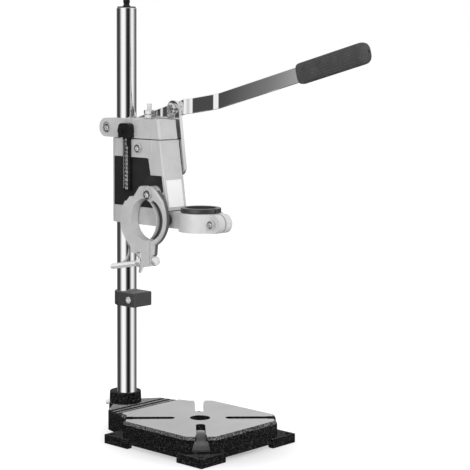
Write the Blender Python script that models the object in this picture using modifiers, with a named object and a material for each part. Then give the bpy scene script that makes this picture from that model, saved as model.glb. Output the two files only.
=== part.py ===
"""Bench drill stand: a cast base, a round column, and a head whose carriage is fed down by a hand lever.

Metres, +Z up. The column's axis is the Z axis and the bench is z = 0. The tool side is -Y.
"""

import math

import bmesh
import bpy
import numpy as np
from mathutils import Matrix, Vector

# Fits shared by all pieces
FIT_GAP = 0.0003
RUNNING_GAP = 0.0004
CUT_OVERRUN = 0.002
MERGE = 0.00001
ROUND_SIDES = 32
SMALL_SIDES = 16
HEX_SIDES = 6
SHARP = math.radians(35)

# Column tube and its cap
COLUMN_RADIUS = 0.0125
COLUMN_WALL = 0.0015
COLUMN_TOP = 0.533
COLUMN_SEAT = 0.013
CAP_STEM_LENGTH = 0.012
CAP_DISC_RADIUS = 0.0118
CAP_DISC_THICKNESS = 0.0014
CAP_KNOB_RADIUS = 0.0048
CAP_NECK_RADIUS = 0.0036
CAP_HEAD_RADIUS = 0.0042
CAP_KNOB_HEIGHT = 0.0095

# Base casting: a square table with cut corners, a neck and the column's socket
REACH = 0.1313
TABLE_SIDE = 0.1587
TABLE_TOP = 0.0312
TABLE_PLATE = 0.0075
TABLE_WALL = 0.007
TABLE_EDGE = 0.0034
WALL_BOTTOM = 0.0045
CORNER_CUT = 0.0262
NECK_HALF = 0.0475
NECK_REAR = 0.0165
NECK_FLARE = 0.004
NECK_STEP = 0.0016
NECK_STEP_START = 0.0445
SOCKET_TOP = 0.044
SOCKET_RADIUS = 0.0199
SOCKET_TAPER = 0.0006
SOCKET_FOOT_RADIUS = 0.0211
SOCKET_SET_BACK = 0.0028
SOCKET_PAD_INSET = 0.0016
DRILL_HOLE_RADIUS = 0.0125
SLOT_WIDTH = 0.0112
SLOT_START = 0.0366
FLARE_WIDTH = 0.022
FLARE_BOTTOM = 0.014
FLARE_START = 0.0825
FLARE_TOP_STEP = 0.0005
FOOT_TOP = 0.011
FOOT_LENGTH = 0.041
FOOT_PROUD = 0.0035
FOOT_HOLE_INSET = 0.0035
FOOT_HOLE_RADIUS = 0.0032
GROOVE_COUNT = 3
GROOVE_FIRST = 0.0215
GROOVE_PITCH = 0.0093
GROOVE_WIDTH = 0.0030
GROOVE_DEPTH = 0.0016
SET_SCREW_RADIUS = 0.003
SET_SCREW_HEIGHT = 0.0295
SET_SCREW_PROUD = 0.0026
SET_SCREW_TURN = math.radians(135)

# Head: the fixed bracket over the sliding carriage
HEAD_HALF_WIDTH = 0.017
FRONT_LEAN = math.radians(8.8)
FRONT_BEVEL = 0.0024
BRACKET_BOTTOM = 0.3712
BRACKET_HEIGHT = 0.0238
BRACKET_FRONT = 0.0744
LUG_REACH = 0.0207
LUG_SPLIT = 0.003
CLAMP_BOLT_REACH = 0.0195
CLAMP_BOLT_RADIUS = 0.0032
CLAMP_RECESS_RADIUS = 0.0072
CLAMP_RECESS_DEPTH = 0.0042
CLAMP_HEAD_RADIUS = 0.0058
CLAMP_HEAD_THICKNESS = 0.0036

# Carriage casting
SEAM = 0.0012
CARRIAGE_HEIGHT = 0.1058
CARRIAGE_STEP_RISE = 0.062
CARRIAGE_STEP = 0.0012
CARRIAGE_NOSE_RISE = 0.0205
CARRIAGE_CHIN = 0.078
CARRIAGE_SETBACK = 0.001
CARRIAGE_BEVEL = 0.0014
WEB_THICKNESS = 0.0168
SPRING_BORE = 0.0088
SCREW_PAD_START = 0.026
SCREW_PAD_END = 0.062
SCREW_PAD_HEIGHT = 0.023
SCREW_PAD_PROUD = 0.0012

# Guide rod, nuts, washer and return spring
ROD_REACH = 0.0415
ROD_RADIUS = 0.0031
ROD_PROUD = 0.0194
ROD_END_RISE = 0.004
NUT_RADIUS = 0.0073
NUT_THICKNESS = 0.0053
WASHER_RADIUS = 0.0078
WASHER_RISE = 0.013
WASHER_THICKNESS = 0.0018
SPRING_RADIUS = 0.0058
SPRING_WIRE = 0.00075
SPRING_TURNS = 9
SPRING_POINTS = 9

# Side covers and their rivets
COVER_THICKNESS = 0.0024
COVER_PROUD = 0.0006
COVER_REAR = 0.004
COVER_TOP_RISE = 0.0833
COVER_BOTTOM_RISE = 0.0223
COVER_UPPER_FRONT = 0.0568
COVER_STEP_FRONT = 0.0609
COVER_STEP_RISE = 0.0622
COVER_MARGIN = 0.0036
RIVET_RADIUS = 0.0017
RIVET_PROUD = 0.0009
RIVET_LENGTH = 0.004
RIVET_FRONT_REACH = 0.0835
RIVET_FRONT_RISE = 0.041
RIVET_REAR_REACH = 0.0244
RIVET_REAR_RISE = 0.0298

# Depth scale and its holder
SCALE_STANDOFF = 0.0018
SCALE_THICKNESS = 0.0018
SCALE_REAR = 0.0148
SCALE_WIDTH = 0.0136
SCALE_HANG = 0.066
SCALE_GRIP = 0.012
HOLDER_REAR = 0.0118
HOLDER_WIDTH = 0.020
HOLDER_RISE = 0.0005
HOLDER_HEIGHT = 0.018
HOLDER_THICKNESS = 0.0085
HOLDER_CORNER = 0.0055
HOLDER_SCREW_RADIUS = 0.0042
HOLDER_SCREW_PROUD = 0.0022
HOLDER_SCREW_INSET = 0.0052

# Guide screw on the carriage's raised pad
GUIDE_SCREW_REACH = 0.0417
GUIDE_SCREW_DROP = 0.0106
GUIDE_SCREW_RADIUS = 0.0056
GUIDE_SCREW_THICKNESS = 0.003
GUIDE_SHANK_RADIUS = 0.0025
GUIDE_SHANK_LENGTH = 0.003

# Label plate on the carriage's nose
LABEL_HALF_WIDTH = 0.0128
LABEL_SHIFT = -0.002
LABEL_RISE = 0.0245
LABEL_HEIGHT = 0.033
LABEL_THICKNESS = 0.0006

# Feed link: a strap screwed to the carriage, whose pin works in the lever's slot
LINK_INNER = 0.0178
LINK_THICKNESS = 0.005
LINK_HALF_WIDTH = 0.0105
LINK_PIN_REACH = 0.0645
LINK_PIN_RISE = 0.0129
LINK_FOOT_REACH = 0.0742
LINK_FOOT_DROP = 0.0345
LINK_SEAT_RADIUS = 0.0065
LINK_SCREW_RADIUS = 0.0026
LINK_SCREW_HEAD_RADIUS = 0.0048
LINK_SCREW_HEAD_THICKNESS = 0.003
LINK_SCREW_DEPTH = 0.008
PIN_RADIUS = 0.004
PIN_HEAD_RADIUS = 0.0064
PIN_HEAD_THICKNESS = 0.0042
PIN_NUT_THICKNESS = 0.005

# Room in the bracket's side for the pin's head on its way down
PIN_ROOM_SIDE = 0.0128
PIN_ROOM_REACH = 0.0565

# Lever: a flat bar, bent outwards twice, and its fulcrum
FULCRUM_REACH = -0.004
FULCRUM_RISE = 0.015
FULCRUM_BOSS_RADIUS = 0.0082
FULCRUM_PIN_RADIUS = 0.0038
FULCRUM_HEAD_RADIUS = 0.0066
FULCRUM_HEAD_THICKNESS = 0.004
FULCRUM_DEPTH = 0.0034
LEVER_THICKNESS = 0.004
LEVER_HALF_HEIGHT = 0.0095
LEVER_INNER_END = 0.079
LEVER_FIRST_BEND = 0.0055
LEVER_MID_END = 0.124
LEVER_SECOND_BEND = 0.0032
LEVER_OUTER_END = 0.352
LEVER_FIRST_SHIFT = 0.006
LEVER_SECOND_SHIFT = 0.003
LEVER_INNER_LEAN = math.radians(16.5)
LEVER_MID_LEAN = math.radians(8.6)
LEVER_OUTER_LEAN = math.radians(14.8)
LEVER_SLOT_HALF_LENGTH = 0.0108
LEVER_SLOT_HALF_HEIGHT = 0.0055
LEVER_SLOT_DROP = 0.0008
GRIP_RADIUS = 0.0125
GRIP_HALF_WIDTH = 0.0082
GRIP_LENGTH = 0.103
GRIP_START = 0.258
GRIP_LIP = 0.0016
GRIP_ROUND = 0.006

# Side clamp on the carriage's side; places are forward of and above the ring's centre
RING_REACH = 0.0580
RING_RISE = 0.0064
RING_RADIUS = 0.0377
RING_THICKNESS = 0.012
BORE_TOP_SHIFT = 0.0051
BORE_TOP_RISE = 0.0285
BORE_FOOT_SHIFT = 0.0110
BORE_FOOT_DROP = 0.0235
BORE_REAR_BOW = 0.0263
BORE_FRONT_BOW = 0.0183
PEAK_RISE = 0.0433
PEAK_LENGTH = 0.0033
TOOTH_REAR = 0.0141
TOOTH_RISE = 0.0293
TOOTH_RUN = 0.0064
TOOTH_FALL = 0.0061
TOOTH_LAST_RUN = 0.0025
TOOTH_COUNT = 2
RING_UPPER_ANGLE = 158
RING_LOWER_ANGLE = 236
PARTING_SHIFT = 0.0153
RING_PARTING_GAP = 0.0008
RING_SCREW_RADIUS = 0.0024
RING_SCREW_REAR = 0.0300
RING_SCREW_RISE = 0.0025
JAW_THICKNESS = 0.0095
JAW_SHIFT = 0.0025
JAW_RISE = 0.0045
JAW_RADIUS = 0.0376
JAW_UPPER_ANGLE = 22
JAW_LOWER_ANGLE = -62
JAW_RIM = 0.0014
JAW_EDGE_LENGTH = 0.0203
JAW_EDGE_ANGLE = math.radians(44)
JAW_POCKET_RADIUS = 0.0264
JAW_POCKET_SHIFT = 0.0115
JAW_POCKET_RISE = 0.0025
JAW_POCKET_DEPTH = 0.0062
HINGE_SHIFT = 0.0133
HINGE_RISE = 0.0338
HINGE_RADIUS = 0.0030
HINGE_EYE_RADIUS = 0.0099
HINGE_HEAD_RADIUS = 0.0064
HINGE_HEAD_THICKNESS = 0.003
LUG_SHIFT = 0.0185
LUG_DROP = 0.0550
JAW_LUG_THICKNESS = 0.0034
JAW_LUG_SEAT = 0.0014
CLAMP_SLOT_WIDTH = 0.0084
CLAMP_AXIS_DROP = 0.0488
CLAMP_AXIS_LEAN = math.radians(10.6)
NOTCH_FRONT = 0.0004
NOTCH_WIDTH = 0.0099
NOTCH_DROP = 0.0385
NOTCH_ROUND = 0.0035
FINGER_DROP = 0.0407
STUD_RADIUS = 0.0036
STUD_LENGTH = 0.078
STUD_HEAD_RADIUS = 0.0056
STUD_HEAD_THICKNESS = 0.0042
WING_HUB_RADIUS = 0.0062
WING_HUB_LENGTH = 0.009
WING_STAND_OFF = 0.0016
WING_SPAN = 0.0115
WING_HEIGHT = 0.0085
WING_THICKNESS = 0.0026
WING_ROOT = 0.0016

# Front collar over the table's hole
COLLAR_BORE = 0.0217
COLLAR_RADIUS = 0.0270
COLLAR_DROP = 0.0025
COLLAR_HEIGHT = 0.023
COLLAR_SLIT = 0.0026
EAR_HALF_WIDTH = 0.0112
EAR_BOLT_REACH = 0.0304
EAR_BOLT_RADIUS = 0.0030
EAR_HEAD_RADIUS = 0.0052
EAR_HEAD_THICKNESS = 0.0046
EAR_NUT_THICKNESS = 0.0045
ARM_HALF_WIDTH = 0.0115
ARM_DROP = 0.0012
ARM_HEIGHT = 0.0205
STUD_BORE_RADIUS = 0.005
STUD_SINK = 0.016
ARM_SCREW_REACH = 0.0860
ARM_SCREW_RADIUS = 0.0026
ARM_SCREW_HEAD_RADIUS = 0.0076
ARM_SCREW_HEAD_THICKNESS = 0.0032
REDUCER_BORE = 0.0190
REDUCER_FLANGE_RADIUS = 0.0247
REDUCER_FLANGE_HEIGHT = 0.0058
REDUCER_SLIT = 0.0012

# Stop block on the column
STOP_HALF_WIDTH = 0.0155
STOP_FRONT = 0.0292
STOP_BOTTOM = 0.157
STOP_HEIGHT = 0.018
STOP_EDGE = 0.0008
STOP_SCREW_REACH = 0.0205
STOP_SCREW_RADIUS = 0.0021
STOP_SCREW_HEAD_RADIUS = 0.0042
STOP_SCREW_HEAD_THICKNESS = 0.0018

# Places worked out from the sizes above
HALF_TABLE = TABLE_SIDE / 2
NECK_TOP = TABLE_TOP - NECK_STEP
BRACKET_TOP = BRACKET_BOTTOM + BRACKET_HEIGHT
BRACKET_MIDDLE = (BRACKET_BOTTOM + BRACKET_TOP) / 2
BRACKET_HALF_HEIGHT = (BRACKET_TOP - BRACKET_BOTTOM) / 2
CARRIAGE_TOP = BRACKET_BOTTOM - SEAM
CARRIAGE_BOTTOM = CARRIAGE_TOP - CARRIAGE_HEIGHT
CARRIAGE_STEP_HEIGHT = CARRIAGE_BOTTOM + CARRIAGE_STEP_RISE
CARRIAGE_NOSE_BOTTOM = CARRIAGE_BOTTOM + CARRIAGE_NOSE_RISE
WEB_BOTTOM = CARRIAGE_TOP - WEB_THICKNESS
SCREW_PAD_BOTTOM = CARRIAGE_TOP - SCREW_PAD_HEIGHT
ROD_TOP = BRACKET_TOP + ROD_PROUD
ROD_BOTTOM = CARRIAGE_BOTTOM + ROD_END_RISE
WASHER_TOP = CARRIAGE_BOTTOM + WASHER_RISE
COVER_TOP = CARRIAGE_BOTTOM + COVER_TOP_RISE
COVER_BOTTOM = CARRIAGE_BOTTOM + COVER_BOTTOM_RISE
COVER_STEP_HEIGHT = CARRIAGE_BOTTOM + COVER_STEP_RISE
RIVET_PLACES = {
    "front": (RIVET_FRONT_REACH, CARRIAGE_BOTTOM + RIVET_FRONT_RISE),
    "rear": (RIVET_REAR_REACH, CARRIAGE_BOTTOM + RIVET_REAR_RISE),
}
SCALE_BOTTOM = BRACKET_BOTTOM - SCALE_HANG
SCALE_TOP = BRACKET_BOTTOM + SCALE_GRIP
HOLDER_BOTTOM = BRACKET_BOTTOM + HOLDER_RISE
HOLDER_TOP = HOLDER_BOTTOM + HOLDER_HEIGHT
GUIDE_SCREW_HEIGHT = CARRIAGE_TOP - GUIDE_SCREW_DROP
LABEL_BOTTOM = CARRIAGE_BOTTOM + LABEL_RISE
LABEL_TOP = LABEL_BOTTOM + LABEL_HEIGHT
FULCRUM_HEIGHT = BRACKET_BOTTOM + FULCRUM_RISE
LINK_PIN_HEIGHT = BRACKET_TOP + LINK_PIN_RISE
LINK_FOOT_HEIGHT = CARRIAGE_TOP - LINK_FOOT_DROP
RING_HEIGHT = CARRIAGE_BOTTOM + RING_RISE
COLLAR_BOTTOM = CARRIAGE_BOTTOM - COLLAR_DROP
ARM_BOTTOM = CARRIAGE_BOTTOM - ARM_DROP
COLUMN_BORE = COLUMN_RADIUS + RUNNING_GAP
LINK_OUTER = LINK_INNER + LINK_THICKNESS
LEVER_INNER = LINK_OUTER + RUNNING_GAP
RING_BACK = -HEAD_HALF_WIDTH - COVER_PROUD - FIT_GAP
RING_SCREW_REACH = RING_REACH - RING_SCREW_REAR
RING_SCREW_HEIGHT = RING_HEIGHT + RING_SCREW_RISE
HINGE_REACH = RING_REACH + HINGE_SHIFT
HINGE_HEIGHT = RING_HEIGHT + HINGE_RISE
RING_FACE = RING_BACK - RING_THICKNESS
HINGE_PLANE = RING_FACE + RING_THICKNESS / 2
STUD_PLANE = RING_FACE + JAW_THICKNESS / 2
ARM_MIDDLE = ARM_BOTTOM + ARM_HEIGHT / 2
COLLAR_TOP = COLLAR_BOTTOM + COLLAR_HEIGHT
COLLAR_MIDDLE = COLLAR_BOTTOM + COLLAR_HEIGHT / 2

CAST_GREY = ("cast_grey", (0.42, 0.42, 0.42), 0.5, 0.3)
CAST_BLACK = ("cast_black", (0.03, 0.03, 0.03), 0.6, 0.1)
CHROME = ("chrome_steel", (0.75, 0.75, 0.75), 0.15, 1.0)
ZINC = ("zinc_steel", (0.6, 0.6, 0.6), 0.3, 1.0)
BLACK_PLASTIC = ("black_plastic", (0.025, 0.025, 0.025), 0.45, 0.0)
BLACK_STEEL = ("black_steel", (0.04, 0.04, 0.04), 0.35, 0.6)
RUBBER = ("grip_rubber", (0.02, 0.02, 0.02), 0.8, 0.0)
LABEL_WHITE = ("label_white", (0.8, 0.8, 0.8), 0.4, 0.0)

X_AXIS = Vector((1, 0, 0))
Y_AXIS = Vector((0, 1, 0))
Z_AXIS = Vector((0, 0, 1))


def clear_scene():
    for obj in list(bpy.data.objects):
        bpy.data.objects.remove(obj, do_unlink=True)


def new_collection(name):
    collection = bpy.data.collections.new(name)
    bpy.context.scene.collection.children.link(collection)
    return collection


clear_scene()
PARTS = new_collection("drill_stand")
CUTTERS = new_collection("cutters")


def material(name, finish):
    """A Principled material of the finish's colour, roughness and metallic value."""
    _, colour, roughness, metallic = finish
    made = bpy.data.materials.new(name)
    made.use_nodes = True
    shader = made.node_tree.nodes["Principled BSDF"]
    shader.inputs["Base Color"].default_value = (*colour, 1.0)
    shader.inputs["Roughness"].default_value = roughness
    shader.inputs["Metallic"].default_value = metallic
    return made


def add_mesh(name, bm, place=None):
    """An object of the bmesh, its place written into the mesh; it starts as a cutter."""
    if place is not None:
        bm.transform(place)
    bm.normal_update()
    bmesh.ops.recalc_face_normals(bm, faces=bm.faces)
    mesh = bpy.data.meshes.new(name)
    bm.to_mesh(mesh)
    bm.free()
    obj = bpy.data.objects.new(name, mesh)
    CUTTERS.objects.link(obj)
    obj.hide_render = True
    obj.display_type = "WIRE"
    return obj


def publish(obj, finish, pivot=None):
    """Makes the object a part, with its own material and its origin on its pivot."""
    CUTTERS.objects.unlink(obj)
    PARTS.objects.link(obj)
    obj.hide_render = False
    obj.display_type = "TEXTURED"
    obj.data.materials.clear()
    obj.data.materials.append(material(obj.name + "_" + finish[0], finish))
    obj.data.shade_smooth()
    obj.data.set_sharp_from_angle(angle=SHARP)
    if pivot is not None:
        obj.data.transform(Matrix.Translation(-Vector(pivot)))
        obj.location = pivot
    return obj


def facing(axis):
    """The rotation that takes +Z to the axis."""
    return Vector(axis).normalized().to_track_quat("Z", "Y").to_matrix().to_4x4()


def box(name, low, high):
    """A box between two corners."""
    bm = bmesh.new()
    bmesh.ops.create_cube(bm, size=1)
    low, high = Vector(low), Vector(high)
    size = Matrix.Diagonal((*(high - low), 1))
    return add_mesh(name, bm, Matrix.Translation((low + high) / 2) @ size)


def rod(name, start, axis, radius, length, sides=ROUND_SIDES):
    """A round or many-sided bar from a start point along an axis."""
    bm = bmesh.new()
    bmesh.ops.create_cone(
        bm,
        cap_ends=True,
        segments=sides,
        radius1=radius,
        radius2=radius,
        depth=length,
    )
    axis = Vector(axis).normalized()
    middle = Vector(start) + axis * length / 2
    return add_mesh(name, bm, Matrix.Translation(middle) @ facing(axis))


def arc(centre, radius, start, end, steps):
    """Points on an arc, angles in degrees, both ends included."""
    angles = np.radians(np.linspace(start, end, steps + 1))
    return [(centre[0] + radius * math.cos(a), centre[1] + radius * math.sin(a)) for a in angles]


def outline_mesh(name, outline, thickness):
    """A flat outline, drawn as a 2D curve in XY and thickened about z = 0, as a closed mesh."""
    curve = bpy.data.curves.new(name, "CURVE")
    curve.dimensions = "2D"
    curve.fill_mode = "BOTH"
    curve.extrude = thickness / 2
    spline = curve.splines.new("POLY")
    spline.points.add(len(outline) - 1)
    for point, (x, y) in zip(spline.points, outline):
        point.co = (x, y, 0, 1)
    spline.use_cyclic_u = True
    drawn = bpy.data.objects.new(name, curve)
    bpy.context.scene.collection.objects.link(drawn)
    bpy.context.view_layer.update()
    graph = bpy.context.evaluated_depsgraph_get()
    mesh = bpy.data.meshes.new_from_object(drawn.evaluated_get(graph))
    bpy.data.objects.remove(drawn, do_unlink=True)
    bm = bmesh.new()
    bm.from_mesh(mesh)
    bpy.data.meshes.remove(mesh)
    bmesh.ops.remove_doubles(bm, verts=bm.verts, dist=MERGE)
    return bm


def side_plate(name, outline, low_x, high_x):
    """A (y, z) outline, thickened along X between two planes."""
    swap = Matrix(((0, 0, 1, 0), (1, 0, 0, 0), (0, 1, 0, 0), (0, 0, 0, 1)))
    bm = outline_mesh(name, outline, high_x - low_x)
    return add_mesh(name, bm, Matrix.Translation(X_AXIS * (low_x + high_x) / 2) @ swap)


def flat_plate(name, outline, low_z, high_z):
    """An (x, y) outline, thickened along Z between two planes."""
    bm = outline_mesh(name, outline, high_z - low_z)
    return add_mesh(name, bm, Matrix.Translation(Z_AXIS * (low_z + high_z) / 2))


def turned(name, profile, sides=ROUND_SIDES, place=None, ring=False):
    """A profile of (radius, height) points, top to bottom, turned about Z by a Screw modifier."""
    mesh = bpy.data.meshes.new(name)
    edges = [(i, i + 1) for i in range(len(profile) - 1)]
    if ring:
        edges.append((len(profile) - 1, 0))
    mesh.from_pydata([(radius, 0, height) for radius, height in profile], edges, [])
    obj = bpy.data.objects.new(name, mesh)
    CUTTERS.objects.link(obj)
    obj.hide_render = True
    obj.display_type = "WIRE"
    screw = obj.modifiers.new("turn", "SCREW")
    screw.steps = sides
    screw.render_steps = sides
    screw.use_merge_vertices = True
    screw.merge_threshold = MERGE
    apply_all(obj)
    bm = bmesh.new()
    bm.from_mesh(obj.data)
    bmesh.ops.recalc_face_normals(bm, faces=bm.faces)
    bm.to_mesh(obj.data)
    bm.free()
    if place is not None:
        obj.data.transform(place)
    return obj


def apply_all(obj):
    """Writes the modifiers' result into the mesh."""
    bpy.context.view_layer.update()
    graph = bpy.context.evaluated_depsgraph_get()
    mesh = bpy.data.meshes.new_from_object(obj.evaluated_get(graph))
    obj.modifiers.clear()
    old = obj.data
    obj.data = mesh
    bpy.data.meshes.remove(old)
    return obj


def combine(obj, operation, others):
    """Applies one exact Boolean with all of the other objects, and removes them."""
    group = bpy.data.collections.new("operands")
    CUTTERS.children.link(group)
    for other in others:
        CUTTERS.objects.unlink(other)
        group.objects.link(other)
    step = obj.modifiers.new(operation.lower(), "BOOLEAN")
    step.operation = operation
    step.operand_type = "COLLECTION"
    step.collection = group
    step.solver = "EXACT"
    apply_all(obj)
    for other in others:
        bpy.data.objects.remove(other, do_unlink=True)
    bpy.data.collections.remove(group)
    return obj


def cut(obj, *cutters):
    return combine(obj, "DIFFERENCE", cutters)


def join(obj, *pieces):
    return combine(obj, "UNION", pieces)


def bevel_edges(obj, wanted, width):
    """Bevels the sharp edges for which wanted(first point, second point) is true."""
    bm = bmesh.new()
    bm.from_mesh(obj.data)
    edges = [
        edge
        for edge in bm.edges
        if edge.calc_face_angle() > SHARP and wanted(edge.verts[0].co, edge.verts[1].co)
    ]
    bmesh.ops.bevel(bm, geom=edges, offset=width, segments=1, affect="EDGES", profile=0.5)
    bm.to_mesh(obj.data)
    bm.free()
    return obj


def head_front(height):
    """The y of the head's leaning front face at a height."""
    return -BRACKET_FRONT - (BRACKET_TOP - height) * math.tan(FRONT_LEAN)


def carriage_front(height):
    """The y of the carriage's front face, a little behind the bracket's, at a height."""
    return head_front(height) + CARRIAGE_SETBACK


def is_front_corner(a, b):
    """Whether an edge runs down a front corner of the head."""
    on_side = min(abs(a.x), abs(b.x)) > HEAD_HALF_WIDTH - FIT_GAP
    low, high = sorted((a.z, b.z))
    ahead = max(a.y, b.y) < -BRACKET_FRONT + FIT_GAP
    return on_side and ahead and high - low > NUT_RADIUS and a.x * b.x > 0


def corner_frames():
    """The table's four corners: the signs of x and y from its middle."""
    return [(sx, sy) for sx in (-1, 1) for sy in (-1, 1)]


def table_outline(grow=0.0, neck_half=NECK_HALF, neck_rear=NECK_REAR):
    """The table's top outline with its neck, made larger or smaller all round by grow."""
    half = HALF_TABLE + grow
    leg = CORNER_CUT + grow * math.tan(math.radians(22.5))
    flare = NECK_FLARE - grow
    front = -REACH - half
    rear = -REACH + half
    right = [
        (half - leg, front),
        (half, front + leg),
        (half, rear - leg),
        (half - leg + flare, rear - flare),
        (neck_half + grow, -neck_rear),
    ]
    left = [(-x, y) for x, y in reversed(right)]
    return right, left


def base_casting():
    """Table, neck and socket in one casting, hollow underneath, on four corner feet."""
    right, left = table_outline()
    socket_round = arc((0, SOCKET_SET_BACK), SOCKET_FOOT_RADIUS, 0, 180, SMALL_SIDES)
    body = flat_plate("base_casting", right + socket_round + left, WALL_BOTTOM, TABLE_TOP)
    bevel_edges(
        body,
        lambda a, b: min(a.z, b.z) > TABLE_TOP - FIT_GAP and max(a.y, b.y) < -NECK_REAR + FIT_GAP,
        TABLE_EDGE,
    )
    hollow_right, hollow_left = table_outline(
        -TABLE_WALL, NECK_HALF, NECK_REAR + TABLE_WALL
    )
    hollow = flat_plate(
        "hollow", hollow_right + hollow_left, WALL_BOTTOM - CUT_OVERRUN, TABLE_TOP - TABLE_PLATE
    )
    step = box(
        "neck_step",
        (-HALF_TABLE, -NECK_STEP_START, NECK_TOP),
        (HALF_TABLE, SOCKET_FOOT_RADIUS + SOCKET_SET_BACK + CUT_OVERRUN, TABLE_TOP + CUT_OVERRUN),
    )
    cut(body, hollow, step)
    foot_pad = SOCKET_FOOT_RADIUS - SOCKET_PAD_INSET
    socket = turned(
        "socket",
        [
            (0, SOCKET_TOP),
            (SOCKET_RADIUS, SOCKET_TOP),
            (SOCKET_RADIUS + SOCKET_TAPER, TABLE_TOP),
            (SOCKET_RADIUS + SOCKET_TAPER, WALL_BOTTOM + SOCKET_PAD_INSET),
            (foot_pad, WALL_BOTTOM + SOCKET_PAD_INSET),
            (foot_pad, 0),
            (0, 0),
        ],
        place=Matrix.Translation(Y_AXIS * SOCKET_SET_BACK),
    )
    join(body, socket)
    for sx, sy in corner_frames():
        join(body, foot(sx, sy))
    cutters = [rod(
        "drill_hole",
        (0, -REACH, WALL_BOTTOM),
        Z_AXIS,
        DRILL_HOLE_RADIUS,
        TABLE_TOP - WALL_BOTTOM + CUT_OVERRUN,
    )]
    for sx, sy in corner_frames():
        cutters += slot_cutters(sx, sy)
        cutters.append(foot_hole(sx, sy))
    cutters += [groove(i) for i in range(GROOVE_COUNT)]
    cutters.append(rod(
        "column_seat",
        (0, 0, COLUMN_SEAT - FIT_GAP),
        Z_AXIS,
        COLUMN_RADIUS + FIT_GAP,
        SOCKET_TOP - COLUMN_SEAT + CUT_OVERRUN,
    ))
    cutters.append(set_screw("set_screw_hole", FIT_GAP))
    cut(body, *cutters)
    return publish(body, CAST_BLACK)


def foot(sx, sy):
    """A corner foot, standing a little proud of the table's square."""
    far = HALF_TABLE + FOOT_PROUD
    near = far - FOOT_LENGTH
    inner = HALF_TABLE - TABLE_WALL / 2
    corner = [(far, near), (far, far), (near, far), (near, inner), (inner, near)]
    outline = [(sx * x, -REACH + sy * y) for x, y in corner]
    if sx * sy < 0:
        outline.reverse()
    return flat_plate("foot", outline, 0, FOOT_TOP)


def foot_hole(sx, sy):
    place = HALF_TABLE - FOOT_HOLE_INSET
    start = (sx * place, -REACH + sy * place, -CUT_OVERRUN)
    length = FOOT_TOP + CUT_OVERRUN + CUT_OVERRUN
    return rod("foot_hole", start, Z_AXIS, FOOT_HOLE_RADIUS, length, SMALL_SIDES)


def slot_cutters(sx, sy):
    """A corner's slot through the table's plate and the flared window below it in the wall."""
    turn = Matrix.Rotation(math.atan2(sy, sx), 4, "Z")
    place = Matrix.Translation((0, -REACH, 0)) @ turn
    reach = HALF_TABLE * math.sqrt(2)
    half = SLOT_WIDTH / 2
    outline = arc((SLOT_START, 0), half, 90, 270, SMALL_SIDES) + [(reach, -half), (reach, half)]
    low = TABLE_TOP - TABLE_PLATE - CUT_OVERRUN
    slot = flat_plate("slot", outline, low, TABLE_TOP + CUT_OVERRUN)
    slot.data.transform(place)
    top_half = half + FLARE_TOP_STEP
    top = TABLE_TOP + CUT_OVERRUN
    low_half = FLARE_WIDTH / 2
    flare = [(-low_half, FLARE_BOTTOM), (low_half, FLARE_BOTTOM), (top_half, top), (-top_half, top)]
    window = side_plate("window", flare, FLARE_START, reach + CUT_OVERRUN)
    window.data.transform(place)
    return [slot, window]


def groove(index):
    """A V groove across the neck from side to side."""
    y = -GROOVE_FIRST - index * GROOVE_PITCH
    top = NECK_TOP + GROOVE_DEPTH
    outline = [(y - GROOVE_WIDTH, top), (y, NECK_TOP - GROOVE_DEPTH), (y + GROOVE_WIDTH, top)]
    return side_plate("groove", outline, -HALF_TABLE, HALF_TABLE)


def set_screw(name, grow=0.0):
    """The headless screw that holds the column in the socket."""
    direction = Vector((math.cos(SET_SCREW_TURN), math.sin(SET_SCREW_TURN), 0))
    start = direction * (COLUMN_RADIUS + FIT_GAP) + Z_AXIS * SET_SCREW_HEIGHT
    if grow:
        start -= direction * CUT_OVERRUN
    length = SOCKET_FOOT_RADIUS + SOCKET_SET_BACK - COLUMN_RADIUS + SET_SCREW_PROUD + grow
    return rod(name, start, direction, SET_SCREW_RADIUS + grow, length, SMALL_SIDES)


def column_tube():
    tube = rod("column_tube", (0, 0, COLUMN_SEAT), Z_AXIS, COLUMN_RADIUS, COLUMN_TOP - COLUMN_SEAT)
    bore = rod(
        "tube_bore",
        (0, 0, COLUMN_SEAT - CUT_OVERRUN),
        Z_AXIS,
        COLUMN_RADIUS - COLUMN_WALL,
        COLUMN_TOP - COLUMN_SEAT + CUT_OVERRUN + CUT_OVERRUN,
    )
    return publish(cut(tube, bore), CHROME)


def column_cap():
    """A plug in the tube with a small knob on top."""
    stem = COLUMN_RADIUS - COLUMN_WALL - FIT_GAP
    seat = COLUMN_TOP + FIT_GAP
    disc_top = seat + CAP_DISC_THICKNESS
    knob_top = disc_top + CAP_KNOB_HEIGHT
    shoulder = disc_top + CAP_KNOB_HEIGHT / 3
    head = disc_top + CAP_KNOB_HEIGHT / 2
    profile = [
        (0, knob_top),
        (CAP_HEAD_RADIUS, knob_top),
        (CAP_HEAD_RADIUS, head),
        (CAP_NECK_RADIUS, head),
        (CAP_NECK_RADIUS, shoulder),
        (CAP_KNOB_RADIUS, disc_top),
        (CAP_DISC_RADIUS, disc_top),
        (CAP_DISC_RADIUS, seat),
        (stem, seat),
        (stem, COLUMN_TOP - CAP_STEM_LENGTH),
        (0, COLUMN_TOP - CAP_STEM_LENGTH),
    ]
    return publish(turned("column_cap", profile), BLACK_PLASTIC)


def column_bore(low, high):
    return rod("column_bore", (0, 0, low - CUT_OVERRUN), Z_AXIS, COLUMN_BORE,
               high - low + CUT_OVERRUN + CUT_OVERRUN)


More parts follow.
